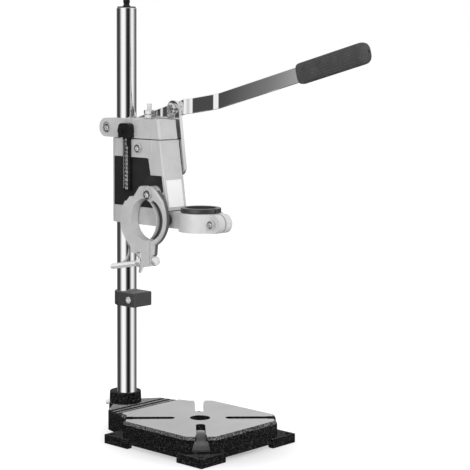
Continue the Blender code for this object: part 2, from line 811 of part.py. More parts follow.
def top_bracket():
    """The fixed bracket: a block with a leaning front and a split, round-ended clamp lug behind."""
    rear = arc((LUG_REACH, BRACKET_MIDDLE), BRACKET_HALF_HEIGHT, -90, 90, SMALL_SIDES)
    outline = [
        (head_front(BRACKET_TOP), BRACKET_TOP),
        (head_front(BRACKET_BOTTOM), BRACKET_BOTTOM),
        *rear,
    ]
    body = side_plate("top_bracket", outline, -HEAD_HALF_WIDTH, HEAD_HALF_WIDTH)
    bevel_edges(body, is_front_corner, FRONT_BEVEL)
    boss = rod(
        "fulcrum_boss",
        (HEAD_HALF_WIDTH - CUT_OVERRUN, -FULCRUM_REACH, FULCRUM_HEIGHT),
        X_AXIS,
        FULCRUM_BOSS_RADIUS,
        LEVER_INNER - RUNNING_GAP - HEAD_HALF_WIDTH + CUT_OVERRUN,
        SMALL_SIDES,
    )
    join(body, boss)
    split_start = COLUMN_RADIUS - CUT_OVERRUN
    split = box(
        "split",
        (-LUG_SPLIT / 2, split_start, BRACKET_BOTTOM - CUT_OVERRUN),
        (LUG_SPLIT / 2, LUG_REACH + BRACKET_HALF_HEIGHT + CUT_OVERRUN, BRACKET_TOP + CUT_OVERRUN),
    )
    pin_room = box(
        "pin_room",
        (PIN_ROOM_SIDE, head_front(BRACKET_BOTTOM) - CUT_OVERRUN, BRACKET_BOTTOM - CUT_OVERRUN),
        (HEAD_HALF_WIDTH + CUT_OVERRUN, -PIN_ROOM_REACH, BRACKET_TOP + CUT_OVERRUN),
    )
    cut(
        body,
        column_bore(BRACKET_BOTTOM, BRACKET_TOP),
        split,
        pin_room,
        clamp_recess(-1),
        clamp_recess(1),
        clamp_shank("bolt_hole", FIT_GAP),
        guide_rod_shank("rod_hole", FIT_GAP),
        fulcrum_shank("fulcrum_hole", FIT_GAP),
    )
    return publish(body, CAST_GREY)


def clamp_recess(side):
    start = (side * (HEAD_HALF_WIDTH - CLAMP_RECESS_DEPTH), CLAMP_BOLT_REACH, BRACKET_MIDDLE)
    length = CLAMP_RECESS_DEPTH + CUT_OVERRUN
    return rod("recess", start, X_AXIS * side, CLAMP_RECESS_RADIUS, length, SMALL_SIDES)


def clamp_shank(name, grow=0.0):
    """The clamp bolt's shank, between the floors of the two recesses."""
    half = HEAD_HALF_WIDTH - CLAMP_RECESS_DEPTH + CLAMP_HEAD_THICKNESS
    if grow:
        half += CUT_OVERRUN
    start = (-half, CLAMP_BOLT_REACH, BRACKET_MIDDLE)
    return rod(name, start, X_AXIS, CLAMP_BOLT_RADIUS + grow, half + half, SMALL_SIDES)


def bracket_clamp_bolt():
    """The bolt through the split lug, its round head in the left recess."""
    floor = HEAD_HALF_WIDTH - CLAMP_RECESS_DEPTH
    bolt = clamp_shank("bracket_clamp_bolt")
    head = rod(
        "head",
        (-floor - FIT_GAP, CLAMP_BOLT_REACH, BRACKET_MIDDLE),
        -X_AXIS,
        CLAMP_HEAD_RADIUS,
        CLAMP_HEAD_THICKNESS,
        SMALL_SIDES,
    )
    return publish(join(bolt, head), ZINC)


def bracket_clamp_nut():
    floor = HEAD_HALF_WIDTH - CLAMP_RECESS_DEPTH
    place = (floor + FIT_GAP, CLAMP_BOLT_REACH, BRACKET_MIDDLE)
    nut = rod("bracket_clamp_nut", place, X_AXIS, CLAMP_HEAD_RADIUS, CLAMP_HEAD_THICKNESS, HEX_SIDES)
    return publish(cut(nut, clamp_shank("nut_hole", FIT_GAP)), ZINC)


def guide_rod_shank(name, grow=0.0):
    start = (0, -ROD_REACH, ROD_BOTTOM)
    return rod(name, start, Z_AXIS, ROD_RADIUS + grow, ROD_TOP - ROD_BOTTOM, SMALL_SIDES)


def guide_rod():
    return publish(guide_rod_shank("guide_rod"), ZINC)


def guide_rod_nut(name, height):
    nut = rod(name, (0, -ROD_REACH, height), Z_AXIS, NUT_RADIUS, NUT_THICKNESS, HEX_SIDES)
    return publish(cut(nut, guide_rod_shank("nut_bore", FIT_GAP)), ZINC)


def guide_rod_nuts():
    """Two nuts locked together above the bracket and one below the washer."""
    first = BRACKET_TOP + FIT_GAP
    guide_rod_nut("guide_rod_nut_upper", first)
    guide_rod_nut("guide_rod_nut_lock", first + NUT_THICKNESS + FIT_GAP)
    lowest = WASHER_TOP - WASHER_THICKNESS - FIT_GAP - NUT_THICKNESS
    guide_rod_nut("guide_rod_nut_lower", lowest)


def guide_rod_washer():
    low = WASHER_TOP - WASHER_THICKNESS
    washer = rod(
        "guide_rod_washer", (0, -ROD_REACH, low), Z_AXIS, WASHER_RADIUS, WASHER_THICKNESS, SMALL_SIDES
    )
    return publish(cut(washer, guide_rod_shank("washer_bore", FIT_GAP)), ZINC)


def return_spring():
    """A compression spring round the guide rod, one helix of round wire with flat-lying ends."""
    low = WASHER_TOP + SPRING_WIRE + FIT_GAP
    high = WEB_BOTTOM - SPRING_WIRE - FIT_GAP
    count = SPRING_TURNS * SPRING_POINTS + 1
    steps = np.linspace(0, 1, count)
    angles = steps * SPRING_TURNS * math.tau
    points = np.column_stack((
        SPRING_RADIUS * np.cos(angles),
        -ROD_REACH + SPRING_RADIUS * np.sin(angles),
        low + (high - low) * steps,
    ))
    pitch = (high - low) / SPRING_TURNS
    print("return spring: least gap between turns", round(pitch - SPRING_WIRE - SPRING_WIRE, 5), "m")
    curve = bpy.data.curves.new("return_spring", "CURVE")
    curve.dimensions = "3D"
    curve.bevel_depth = SPRING_WIRE
    curve.bevel_resolution = 1
    curve.use_fill_caps = True
    spline = curve.splines.new("POLY")
    spline.points.add(count - 1)
    for place, (x, y, z) in zip(spline.points, points):
        place.co = (x, y, z, 1)
    drawn = bpy.data.objects.new("return_spring_curve", curve)
    bpy.context.scene.collection.objects.link(drawn)
    bpy.context.view_layer.update()
    graph = bpy.context.evaluated_depsgraph_get()
    mesh = bpy.data.meshes.new_from_object(drawn.evaluated_get(graph))
    bpy.data.objects.remove(drawn, do_unlink=True)
    bm = bmesh.new()
    bm.from_mesh(mesh)
    bpy.data.meshes.remove(mesh)
    bmesh.ops.remove_doubles(bm, verts=bm.verts, dist=MERGE)
    return publish(add_mesh("return_spring", bm), ZINC)


def stacked(name, stations):
    """A block through (height, front y) stations, square behind, its front corners cut off."""
    bm = bmesh.new()
    rings = []
    inner = HEAD_HALF_WIDTH - CARRIAGE_BEVEL
    for height, front in stations:
        section = [
            (HEAD_HALF_WIDTH, 0),
            (-HEAD_HALF_WIDTH, 0),
            (-HEAD_HALF_WIDTH, front + CARRIAGE_BEVEL),
            (-inner, front),
            (inner, front),
            (HEAD_HALF_WIDTH, front + CARRIAGE_BEVEL),
        ]
        rings.append([bm.verts.new((x, y, height)) for x, y in section])
    for first, second in zip(rings, rings[1:]):
        for i in range(len(first)):
            j = (i + 1) % len(first)
            bm.faces.new((first[i], first[j], second[j], second[i]))
    bm.faces.new(rings[0])
    bm.faces.new(rings[-1])
    return add_mesh(name, bm)


def carriage_casting():
    """The sliding casting: bored for the column, hollow for the spring, recessed for its covers."""
    under_step = CARRIAGE_STEP_HEIGHT - CARRIAGE_STEP
    body = stacked(
        "carriage_casting",
        [
            (CARRIAGE_NOSE_BOTTOM, carriage_front(CARRIAGE_NOSE_BOTTOM) - CARRIAGE_STEP),
            (under_step, carriage_front(under_step) - CARRIAGE_STEP),
            (CARRIAGE_STEP_HEIGHT, carriage_front(CARRIAGE_STEP_HEIGHT)),
            (CARRIAGE_TOP, carriage_front(CARRIAGE_TOP)),
        ],
    )
    chin = stacked(
        "chin",
        [
            (CARRIAGE_BOTTOM, -CARRIAGE_CHIN),
            (CARRIAGE_NOSE_BOTTOM + CUT_OVERRUN, -CARRIAGE_CHIN),
        ],
    )
    back = rod(
        "back", (0, 0, CARRIAGE_BOTTOM), Z_AXIS, HEAD_HALF_WIDTH, CARRIAGE_TOP - CARRIAGE_BOTTOM
    )
    pad = box(
        "screw_pad",
        (-HEAD_HALF_WIDTH - SCREW_PAD_PROUD, -SCREW_PAD_END, SCREW_PAD_BOTTOM),
        (-HEAD_HALF_WIDTH + CUT_OVERRUN, -SCREW_PAD_START, CARRIAGE_TOP),
    )
    seat = rod(
        "link_seat",
        (HEAD_HALF_WIDTH - CUT_OVERRUN, -LINK_FOOT_REACH, LINK_FOOT_HEIGHT),
        X_AXIS,
        LINK_SEAT_RADIUS,
        LINK_INNER - FIT_GAP - HEAD_HALF_WIDTH + CUT_OVERRUN,
        SMALL_SIDES,
    )
    join(body, chin, back, pad, seat)
    spring_room = rod(
        "spring_room",
        (0, -ROD_REACH, CARRIAGE_BOTTOM - CUT_OVERRUN),
        Z_AXIS,
        SPRING_BORE,
        WEB_BOTTOM - CARRIAGE_BOTTOM + CUT_OVERRUN,
        SMALL_SIDES,
    )
    cut(
        body,
        column_bore(CARRIAGE_BOTTOM, CARRIAGE_TOP),
        spring_room,
        guide_rod_shank("web_hole", RUNNING_GAP),
        cover_plate("left_recess", -1, FIT_GAP),
        cover_plate("right_recess", 1, FIT_GAP),
        link_screw_shank("link_screw_hole", FIT_GAP),
        guide_screw_shank("guide_screw_hole", FIT_GAP),
        arm_stud_shank("stud_hole", FIT_GAP),
    )
    holes = [
        rivet_shank(side, reach, height, FIT_GAP)
        for side in (-1, 1)
        for reach, height in RIVET_PLACES.values()
    ]
    cut(body, ring_screw_shank("ring_screw_hole", FIT_GAP), *holes)
    return publish(body, CAST_GREY)


def cover_plate(name, side, grow=0.0):
    """A side cover, its front edge following the leaning face; grown, it is its own recess."""
    front_step = carriage_front(COVER_STEP_HEIGHT) + COVER_MARGIN
    front_low = carriage_front(COVER_BOTTOM) + COVER_MARGIN
    outline = [
        (COVER_REAR + grow, COVER_BOTTOM - grow),
        (COVER_REAR + grow, COVER_TOP + grow),
        (-COVER_UPPER_FRONT - grow, COVER_TOP + grow),
        (-COVER_STEP_FRONT - grow, COVER_STEP_HEIGHT + grow),
        (front_step - grow, COVER_STEP_HEIGHT + grow),
        (front_low - grow, COVER_BOTTOM - grow),
    ]
    inner = HEAD_HALF_WIDTH + COVER_PROUD - COVER_THICKNESS
    outer = HEAD_HALF_WIDTH + COVER_PROUD
    if grow:
        inner -= grow
        outer += CUT_OVERRUN
    low, high = sorted((side * inner, side * outer))
    return side_plate(name, outline, low, high)


def side_cover(name, side):
    cover = cover_plate(name, side)
    for reach, height in RIVET_PLACES.values():
        cut(cover, rivet_shank(side, reach, height, FIT_GAP))
    return publish(cover, BLACK_PLASTIC)


def rivet_shank(side, reach, height, grow=0.0):
    outer = HEAD_HALF_WIDTH + COVER_PROUD + RIVET_PROUD
    start = (side * outer, -reach, height)
    length = RIVET_LENGTH + RIVET_PROUD + grow
    return rod("rivet", start, -X_AXIS * side, RIVET_RADIUS + grow, length, SMALL_SIDES)


def cover_rivets():
    """Four small rivets, two in each side cover."""
    for side_name, side in (("left", -1), ("right", 1)):
        for end_name, (reach, height) in RIVET_PLACES.items():
            rivet = rivet_shank(side, reach, height)
            rivet.name = "cover_rivet_" + side_name + "_" + end_name
            publish(rivet, ZINC)


def guide_screw_shank(name, grow=0.0):
    floor = HEAD_HALF_WIDTH + SCREW_PAD_PROUD
    start = (-floor - GUIDE_SCREW_THICKNESS / 2, -GUIDE_SCREW_REACH, GUIDE_SCREW_HEIGHT)
    length = GUIDE_SHANK_LENGTH + GUIDE_SCREW_THICKNESS / 2 + grow
    return rod(name, start, X_AXIS, GUIDE_SHANK_RADIUS + grow, length, SMALL_SIDES)


def guide_screw():
    floor = HEAD_HALF_WIDTH + SCREW_PAD_PROUD + FIT_GAP
    screw = guide_screw_shank("guide_screw")
    head = rod(
        "head",
        (-floor, -GUIDE_SCREW_REACH, GUIDE_SCREW_HEIGHT),
        -X_AXIS,
        GUIDE_SCREW_RADIUS,
        GUIDE_SCREW_THICKNESS,
        SMALL_SIDES,
    )
    return publish(join(screw, head), ZINC)


def scale_span():
    """The x planes of the depth scale's back and face."""
    back = -HEAD_HALF_WIDTH - SCALE_STANDOFF
    return back - SCALE_THICKNESS, back


def depth_scale():
    face, back = scale_span()
    scale = box(
        "depth_scale",
        (face, -SCALE_REAR - SCALE_WIDTH, SCALE_BOTTOM),
        (back, -SCALE_REAR, SCALE_TOP),
    )
    return publish(scale, BLACK_PLASTIC)


def scale_holder():
    """A round-topped block on the bracket's side, with a pocket for the scale's end."""
    front = -HOLDER_REAR - HOLDER_WIDTH
    round_z = HOLDER_TOP - HOLDER_CORNER
    outline = [
        (-HOLDER_REAR, HOLDER_BOTTOM),
        *arc((-HOLDER_REAR - HOLDER_CORNER, round_z), HOLDER_CORNER, 0, 90, HEX_SIDES),
        *arc((front + HOLDER_CORNER, round_z), HOLDER_CORNER, 90, 180, HEX_SIDES),
        (front, HOLDER_BOTTOM),
    ]
    back = -HEAD_HALF_WIDTH - FIT_GAP
    holder = side_plate("scale_holder", outline, back - HOLDER_THICKNESS, back)
    face, rear = scale_span()
    pocket = box(
        "pocket",
        (face - FIT_GAP, -SCALE_REAR - SCALE_WIDTH - FIT_GAP, HOLDER_BOTTOM - CUT_OVERRUN),
        (rear + FIT_GAP, -SCALE_REAR + FIT_GAP, SCALE_TOP + FIT_GAP),
    )
    knob = rod(
        "knob",
        (back - HOLDER_THICKNESS + CUT_OVERRUN, -HOLDER_REAR - HOLDER_SCREW_INSET,
         HOLDER_TOP - HOLDER_SCREW_INSET - HOLDER_SCREW_RADIUS),
        -X_AXIS,
        HOLDER_SCREW_RADIUS,
        HOLDER_SCREW_PROUD + CUT_OVERRUN,
        SMALL_SIDES,
    )
    join(holder, knob)
    return publish(cut(holder, pocket), BLACK_PLASTIC)


def label_plate():
    """A bare plate on the carriage's nose, lying on the leaning face."""
    gap = CARRIAGE_STEP + FIT_GAP
    outline = [
        (carriage_front(LABEL_TOP) - gap, LABEL_TOP),
        (carriage_front(LABEL_TOP) - gap - LABEL_THICKNESS, LABEL_TOP),
        (carriage_front(LABEL_BOTTOM) - gap - LABEL_THICKNESS, LABEL_BOTTOM),
        (carriage_front(LABEL_BOTTOM) - gap, LABEL_BOTTOM),
    ]
    low, high = LABEL_SHIFT - LABEL_HALF_WIDTH, LABEL_SHIFT + LABEL_HALF_WIDTH
    return publish(side_plate("label_plate", outline, low, high), LABEL_WHITE)


def link_screw_shank(name, grow=0.0):
    start = (LINK_OUTER + LINK_SCREW_HEAD_THICKNESS / 2, -LINK_FOOT_REACH, LINK_FOOT_HEIGHT)
    length = LINK_OUTER + LINK_SCREW_HEAD_THICKNESS / 2 - HEAD_HALF_WIDTH + LINK_SCREW_DEPTH + grow
    return rod(name, start, -X_AXIS, LINK_SCREW_RADIUS + grow, length, SMALL_SIDES)


def link_screw():
    screw = link_screw_shank("link_screw")
    head = rod(
        "head",
        (LINK_OUTER + FIT_GAP, -LINK_FOOT_REACH, LINK_FOOT_HEIGHT),
        X_AXIS,
        LINK_SCREW_HEAD_RADIUS,
        LINK_SCREW_HEAD_THICKNESS,
        HEX_SIDES,
    )
    return publish(join(screw, head), ZINC)


def pin_shank(name, grow=0.0):
    """The link pin's shank, from its head's face to its nut's face."""
    start = (LINK_INNER - PIN_HEAD_THICKNESS / 2, -LINK_PIN_REACH, LINK_PIN_HEIGHT)
    end = LEVER_INNER + LEVER_THICKNESS + PIN_NUT_THICKNESS + PIN_HEAD_THICKNESS / 2
    return rod(name, start, X_AXIS, PIN_RADIUS + grow, end - start[0], SMALL_SIDES)


def feed_link():
    """A round-ended strap from the carriage's side up to the lever's slot."""
    lean = math.degrees(math.atan2(LINK_PIN_HEIGHT - LINK_FOOT_HEIGHT, LINK_FOOT_REACH - LINK_PIN_REACH))
    top = arc((-LINK_PIN_REACH, LINK_PIN_HEIGHT), LINK_HALF_WIDTH, lean - 90, lean + 90, SMALL_SIDES)
    foot_end = arc(
        (-LINK_FOOT_REACH, LINK_FOOT_HEIGHT), LINK_HALF_WIDTH, lean + 90, lean + 270, SMALL_SIDES
    )
    link = side_plate("feed_link", top + foot_end, LINK_INNER, LINK_OUTER)
    cut(link, pin_shank("pin_hole", FIT_GAP), link_screw_shank("screw_hole", FIT_GAP))
    return publish(link, CHROME)


def link_pin():
    """The pin's round head on the left of the link and its shank through the lever's slot."""
    pin = pin_shank("link_pin")
    head = rod(
        "head",
        (LINK_INNER - FIT_GAP, -LINK_PIN_REACH, LINK_PIN_HEIGHT),
        -X_AXIS,
        PIN_HEAD_RADIUS,
        PIN_HEAD_THICKNESS,
        HEX_SIDES,
    )
    return publish(join(pin, head), ZINC)


def link_pin_nut():
    start = (LEVER_INNER + LEVER_THICKNESS + RUNNING_GAP, -LINK_PIN_REACH, LINK_PIN_HEIGHT)
    nut = rod("link_pin_nut", start, X_AXIS, PIN_HEAD_RADIUS, PIN_NUT_THICKNESS, HEX_SIDES)
    return publish(cut(nut, pin_shank("nut_hole", FIT_GAP)), ZINC)


def fulcrum_shank(name, grow=0.0):
    inner = HEAD_HALF_WIDTH - FULCRUM_DEPTH - grow
    outer = LEVER_INNER + LEVER_THICKNESS + FULCRUM_HEAD_THICKNESS / 2
    return rod(
        name,
        (inner, -FULCRUM_REACH, FULCRUM_HEIGHT),
        X_AXIS,
        FULCRUM_PIN_RADIUS + grow,
        outer - inner,
        SMALL_SIDES,
    )


def fulcrum_pin():
    pin = fulcrum_shank("fulcrum_pin")
    head = rod(
        "head",
        (LEVER_INNER + LEVER_THICKNESS + RUNNING_GAP, -FULCRUM_REACH, FULCRUM_HEIGHT),
        X_AXIS,
        FULCRUM_HEAD_RADIUS,
        FULCRUM_HEAD_THICKNESS,
        HEX_SIDES,
    )
    return publish(join(pin, head), ZINC)


def lever_stations():
    """The bar's middle line: (y, z, inner x) at its ends and bends, from the fulcrum outwards."""
    inner_end = -LEVER_INNER_END
    mid_start = inner_end - LEVER_FIRST_BEND
    mid_end = -LEVER_MID_END
    outer_start = mid_end - LEVER_SECOND_BEND
    outer_end = -LEVER_OUTER_END
    mid_x = LEVER_INNER + LEVER_FIRST_SHIFT
    outer_x = mid_x + LEVER_SECOND_SHIFT
    tail = -FULCRUM_REACH + LEVER_HALF_HEIGHT
    start_z = FULCRUM_HEIGHT
    tail_z = start_z - (tail + FULCRUM_REACH) * math.tan(LEVER_INNER_LEAN)
    inner_z = start_z + (-FULCRUM_REACH - inner_end) * math.tan(LEVER_INNER_LEAN)
    mid_start_z = inner_z + LEVER_FIRST_BEND * math.tan(LEVER_MID_LEAN)
    mid_z = inner_z + (inner_end - mid_end) * math.tan(LEVER_MID_LEAN)
    outer_start_z = mid_z + LEVER_SECOND_BEND * math.tan(LEVER_OUTER_LEAN)
    outer_z = mid_z + (mid_end - outer_end) * math.tan(LEVER_OUTER_LEAN)
    return [
        (tail, tail_z, LEVER_INNER),
        (inner_end, inner_z, LEVER_INNER),
        (mid_start, mid_start_z, mid_x),
        (mid_end, mid_z, mid_x),
        (outer_start, outer_start_z, outer_x),
        (outer_end, outer_z, outer_x),
    ]


def lever_bar():
    """The bent bar, lofted through its stations, with a round eye and the link pin's slot."""
    bm = bmesh.new()
    rings = []
    for y, z, x in lever_stations():
        corners = [
            (x, y, z - LEVER_HALF_HEIGHT),
            (x + LEVER_THICKNESS, y, z - LEVER_HALF_HEIGHT),
            (x + LEVER_THICKNESS, y, z + LEVER_HALF_HEIGHT),
            (x, y, z + LEVER_HALF_HEIGHT),
        ]
        rings.append([bm.verts.new(corner) for corner in corners])
    for first, second in zip(rings, rings[1:]):
        for i in range(len(first)):
            j = (i + 1) % len(first)
            bm.faces.new((first[i], first[j], second[j], second[i]))
    bm.faces.new(rings[0])
    bm.faces.new(rings[-1])
    bar = add_mesh("lever_bar", bm)
    slot = lever_slot()
    cut(bar, slot, fulcrum_shank("eye", RUNNING_GAP))
    return publish(bar, CHROME, (LEVER_INNER, -FULCRUM_REACH, FULCRUM_HEIGHT))


def lever_slot():
    """The long slot for the link's pin, on the line from the fulcrum."""
    reach = -FULCRUM_REACH + LINK_PIN_REACH
    lean = math.atan2(LINK_PIN_HEIGHT - FULCRUM_HEIGHT, reach)
    turn = math.degrees(lean)
    shift = LEVER_SLOT_HALF_LENGTH - PIN_RADIUS
    near = (shift, 0)
    outline = arc(near, LEVER_SLOT_HALF_HEIGHT, -90, 90, HEX_SIDES)
    outline += arc((-shift / 2, 0), LEVER_SLOT_HALF_HEIGHT, 90, 270, HEX_SIDES)
    spin = math.radians(180 - turn)
    placed = [
        (
            -LINK_PIN_REACH + u * math.cos(spin) - v * math.sin(spin),
            LINK_PIN_HEIGHT - LEVER_SLOT_DROP + u * math.sin(spin) + v * math.cos(spin),
        )
        for u, v in outline
    ]
    return side_plate("lever_slot", placed, LEVER_INNER - CUT_OVERRUN,
                      LEVER_INNER + LEVER_THICKNESS + CUT_OVERRUN)


def lever_grip():
    """An oval rubber grip on the bar's end."""
    lean = LEVER_OUTER_LEAN
    _, end_z, end_x = lever_stations()[-1]
    start_z = end_z - (LEVER_OUTER_END - GRIP_START) * math.tan(lean)
    start = Vector((end_x + LEVER_THICKNESS / 2, -GRIP_START, start_z))
    direction = Vector((0, -math.cos(lean), math.sin(lean)))
    profile = [
        (0, GRIP_LENGTH),
        (GRIP_RADIUS - GRIP_ROUND, GRIP_LENGTH),
        (GRIP_RADIUS - GRIP_LIP, GRIP_LENGTH - GRIP_ROUND / 2),
        (GRIP_RADIUS, GRIP_LENGTH - GRIP_ROUND),
        (GRIP_RADIUS, GRIP_LIP),
        (GRIP_RADIUS - GRIP_LIP, 0),
        (0, 0),
    ]
    flat = Matrix.Diagonal((GRIP_HALF_WIDTH / GRIP_RADIUS, 1, 1, 1))
    place = Matrix.Translation(start) @ flat @ facing(direction)
    grip = turned("lever_grip", profile, ROUND_SIDES, place)
    hole = box(
        "bar_socket",
        (-LEVER_THICKNESS / 2 - FIT_GAP, -LEVER_HALF_HEIGHT * math.cos(lean) - FIT_GAP, -CUT_OVERRUN),
        (LEVER_THICKNESS / 2 + FIT_GAP, LEVER_HALF_HEIGHT * math.cos(lean) + FIT_GAP,
         (LEVER_OUTER_END - GRIP_START) / math.cos(lean) + LEVER_HALF_HEIGHT * math.tan(lean)),
    )
    tilt = Matrix((
        (1, 0, 0, 0),
        (0, math.sin(lean), direction.y, 0),
        (0, math.cos(lean), direction.z, 0),
        (0, 0, 0, 1),
    ))
    hole.data.transform(Matrix.Translation(start) @ tilt)
    bm = bmesh.new()
    bm.from_mesh(hole.data)
    bmesh.ops.recalc_face_normals(bm, faces=bm.faces)
    bm.to_mesh(hole.data)
    bm.free()
    return publish(cut(grip, hole), RUBBER)


def clamp_place(forward, up):
    """The (y, z) place of a point forward of and above the side ring's centre."""
    return -RING_REACH - forward, RING_HEIGHT + up


def clamp_arc(forward, up, radius, start, end):
    """An arc's (y, z) points; angles in degrees from straight ahead towards up."""
    return [clamp_place(*point) for point in arc((forward, up), radius, start, end, SMALL_SIDES)]


def bowed(start, end, bow):
    """The (forward, up) points from start to end on an arc that rises by bow to its left."""
    start, end = Vector(start), Vector(end)
    chord = end - start
    half = chord.length / 2
    radius = (half * half + bow * bow) / (bow + bow)
    left = Vector((-chord.y, chord.x)).normalized()
    centre = (start + end) / 2 + left * (bow - radius)
    first = math.atan2(start.y - centre.y, start.x - centre.x)
    last = math.atan2(end.y - centre.y, end.x - centre.x)
    if last > first:
        last -= math.tau
    return arc(centre, radius, math.degrees(first), math.degrees(last), SMALL_SIDES)


def bore_prism(name, low_x, high_x, grow=0.0):
    """The clamp's bore: two bows that meet in points above and below; grown at the front only."""
    top = (BORE_TOP_SHIFT, BORE_TOP_RISE)
    foot = (BORE_FOOT_SHIFT, -BORE_FOOT_DROP)
    front = bowed(top, foot, BORE_FRONT_BOW + grow)
    rear = bowed(foot, top, BORE_REAR_BOW)
    outline = [clamp_place(*point) for point in front[:-1] + rear[:-1]]
    return side_plate(name, outline, low_x, high_x)


def lug_bottom(forward):
    """The height of the lugs' bottom edge, which slopes like the stud."""
    return -LUG_DROP - (PARTING_SHIFT - forward) * math.tan(CLAMP_AXIS_LEAN)


def stud_height(forward):
    """The height of the stud's axis above the ring's centre, at a forward place."""
    return -CLAMP_AXIS_DROP - (PARTING_SHIFT - forward) * math.tan(CLAMP_AXIS_LEAN)


def hinge_disc(name, low_x, high_x, radius):
    return rod(name, (low_x, -HINGE_REACH, HINGE_HEIGHT), X_AXIS, radius, high_x - low_x)


def ring_screw_shank(name, grow=0.0):
    """A hidden screw that holds the fixed ring to the carriage."""
    start = (RING_BACK - RING_THICKNESS / 2 - grow, -RING_SCREW_REACH, RING_SCREW_HEIGHT)
    length = RING_THICKNESS / 2 + RING_THICKNESS + grow + grow
    return rod(name, start, X_AXIS, RING_SCREW_RADIUS + grow, length, SMALL_SIDES)


def stud_slot():
    """The open-bottomed slot in the fixed lug that the stud lies in."""
    front = PARTING_SHIFT + CUT_OVERRUN
    rear = -LUG_SHIFT - CUT_OVERRUN
    low = lug_bottom(rear) - CUT_OVERRUN
    top = stud_height(front) + CLAMP_SLOT_WIDTH
    outline = [
        clamp_place(front, low),
        clamp_place(front, top),
        clamp_place(rear, stud_height(rear) + CLAMP_SLOT_WIDTH),
        clamp_place(rear, low),
    ]
    half = CLAMP_SLOT_WIDTH / 2
    return side_plate("stud_slot", outline, STUD_PLANE - half, STUD_PLANE + half)


def nut_notch():
    """The round-topped notch in the fixed lug where the wing nut bears, open to the rear below."""
    rear = -NOTCH_FRONT - NOTCH_WIDTH
    behind = -LUG_SHIFT - CUT_OVERRUN
    low = lug_bottom(behind) - CUT_OVERRUN
    crown = -NOTCH_DROP - NOTCH_ROUND
    outline = [
        clamp_place(behind, low),
        clamp_place(behind, -FINGER_DROP),
        clamp_place(rear, -FINGER_DROP),
        *clamp_arc(rear + NOTCH_ROUND, crown, NOTCH_ROUND, 180, 90),
        *clamp_arc(-NOTCH_FRONT - NOTCH_ROUND, crown, NOTCH_ROUND, 90, 0),
        clamp_place(-NOTCH_FRONT, low),
    ]
    return side_plate("nut_notch", outline, RING_FACE - CUT_OVERRUN, RING_BACK + CUT_OVERRUN)


def side_ring():
    """The fixed part of the side clamp: a toothed ring half, a hinge eye behind, and a lug."""
    parting = PARTING_SHIFT - RING_PARTING_GAP / 2
    teeth = []
    for index in range(TOOTH_COUNT):
        back = TOOTH_REAR + index * (TOOTH_RUN + TOOTH_FALL)
        up = TOOTH_RISE - index * TOOTH_FALL
        run = TOOTH_RUN if index == 0 else TOOTH_LAST_RUN
        teeth += [clamp_place(-back, up), clamp_place(-back - run, up)]
    outline = [
        clamp_place(parting, lug_bottom(parting)),
        clamp_place(parting, HINGE_RISE),
        clamp_place(0, PEAK_RISE),
        clamp_place(-PEAK_LENGTH, PEAK_RISE - PEAK_LENGTH / 3),
        *teeth,
        *clamp_arc(0, 0, RING_RADIUS, RING_UPPER_ANGLE, RING_LOWER_ANGLE),
        clamp_place(-LUG_SHIFT, -LUG_DROP * 2 / 3),
        clamp_place(-LUG_SHIFT, lug_bottom(-LUG_SHIFT)),
    ]
    ring = side_plate("side_ring", outline, RING_FACE, RING_BACK)
    join(ring, hinge_disc("eye", HINGE_PLANE, RING_BACK, HINGE_EYE_RADIUS))
    cut(
        ring,
        hinge_disc(
            "jaw_eye_room",
            RING_FACE - CUT_OVERRUN,
            HINGE_PLANE + FIT_GAP,
            HINGE_EYE_RADIUS + RUNNING_GAP,
        ),
        bore_prism("bore", RING_FACE - CUT_OVERRUN, RING_BACK + CUT_OVERRUN),
        stud_slot(),
        nut_notch(),
        hinge_shank("hinge_hole", FIT_GAP),
        ring_screw_shank("ring_screw_hole", FIT_GAP),
    )
    return publish(ring, CAST_GREY)


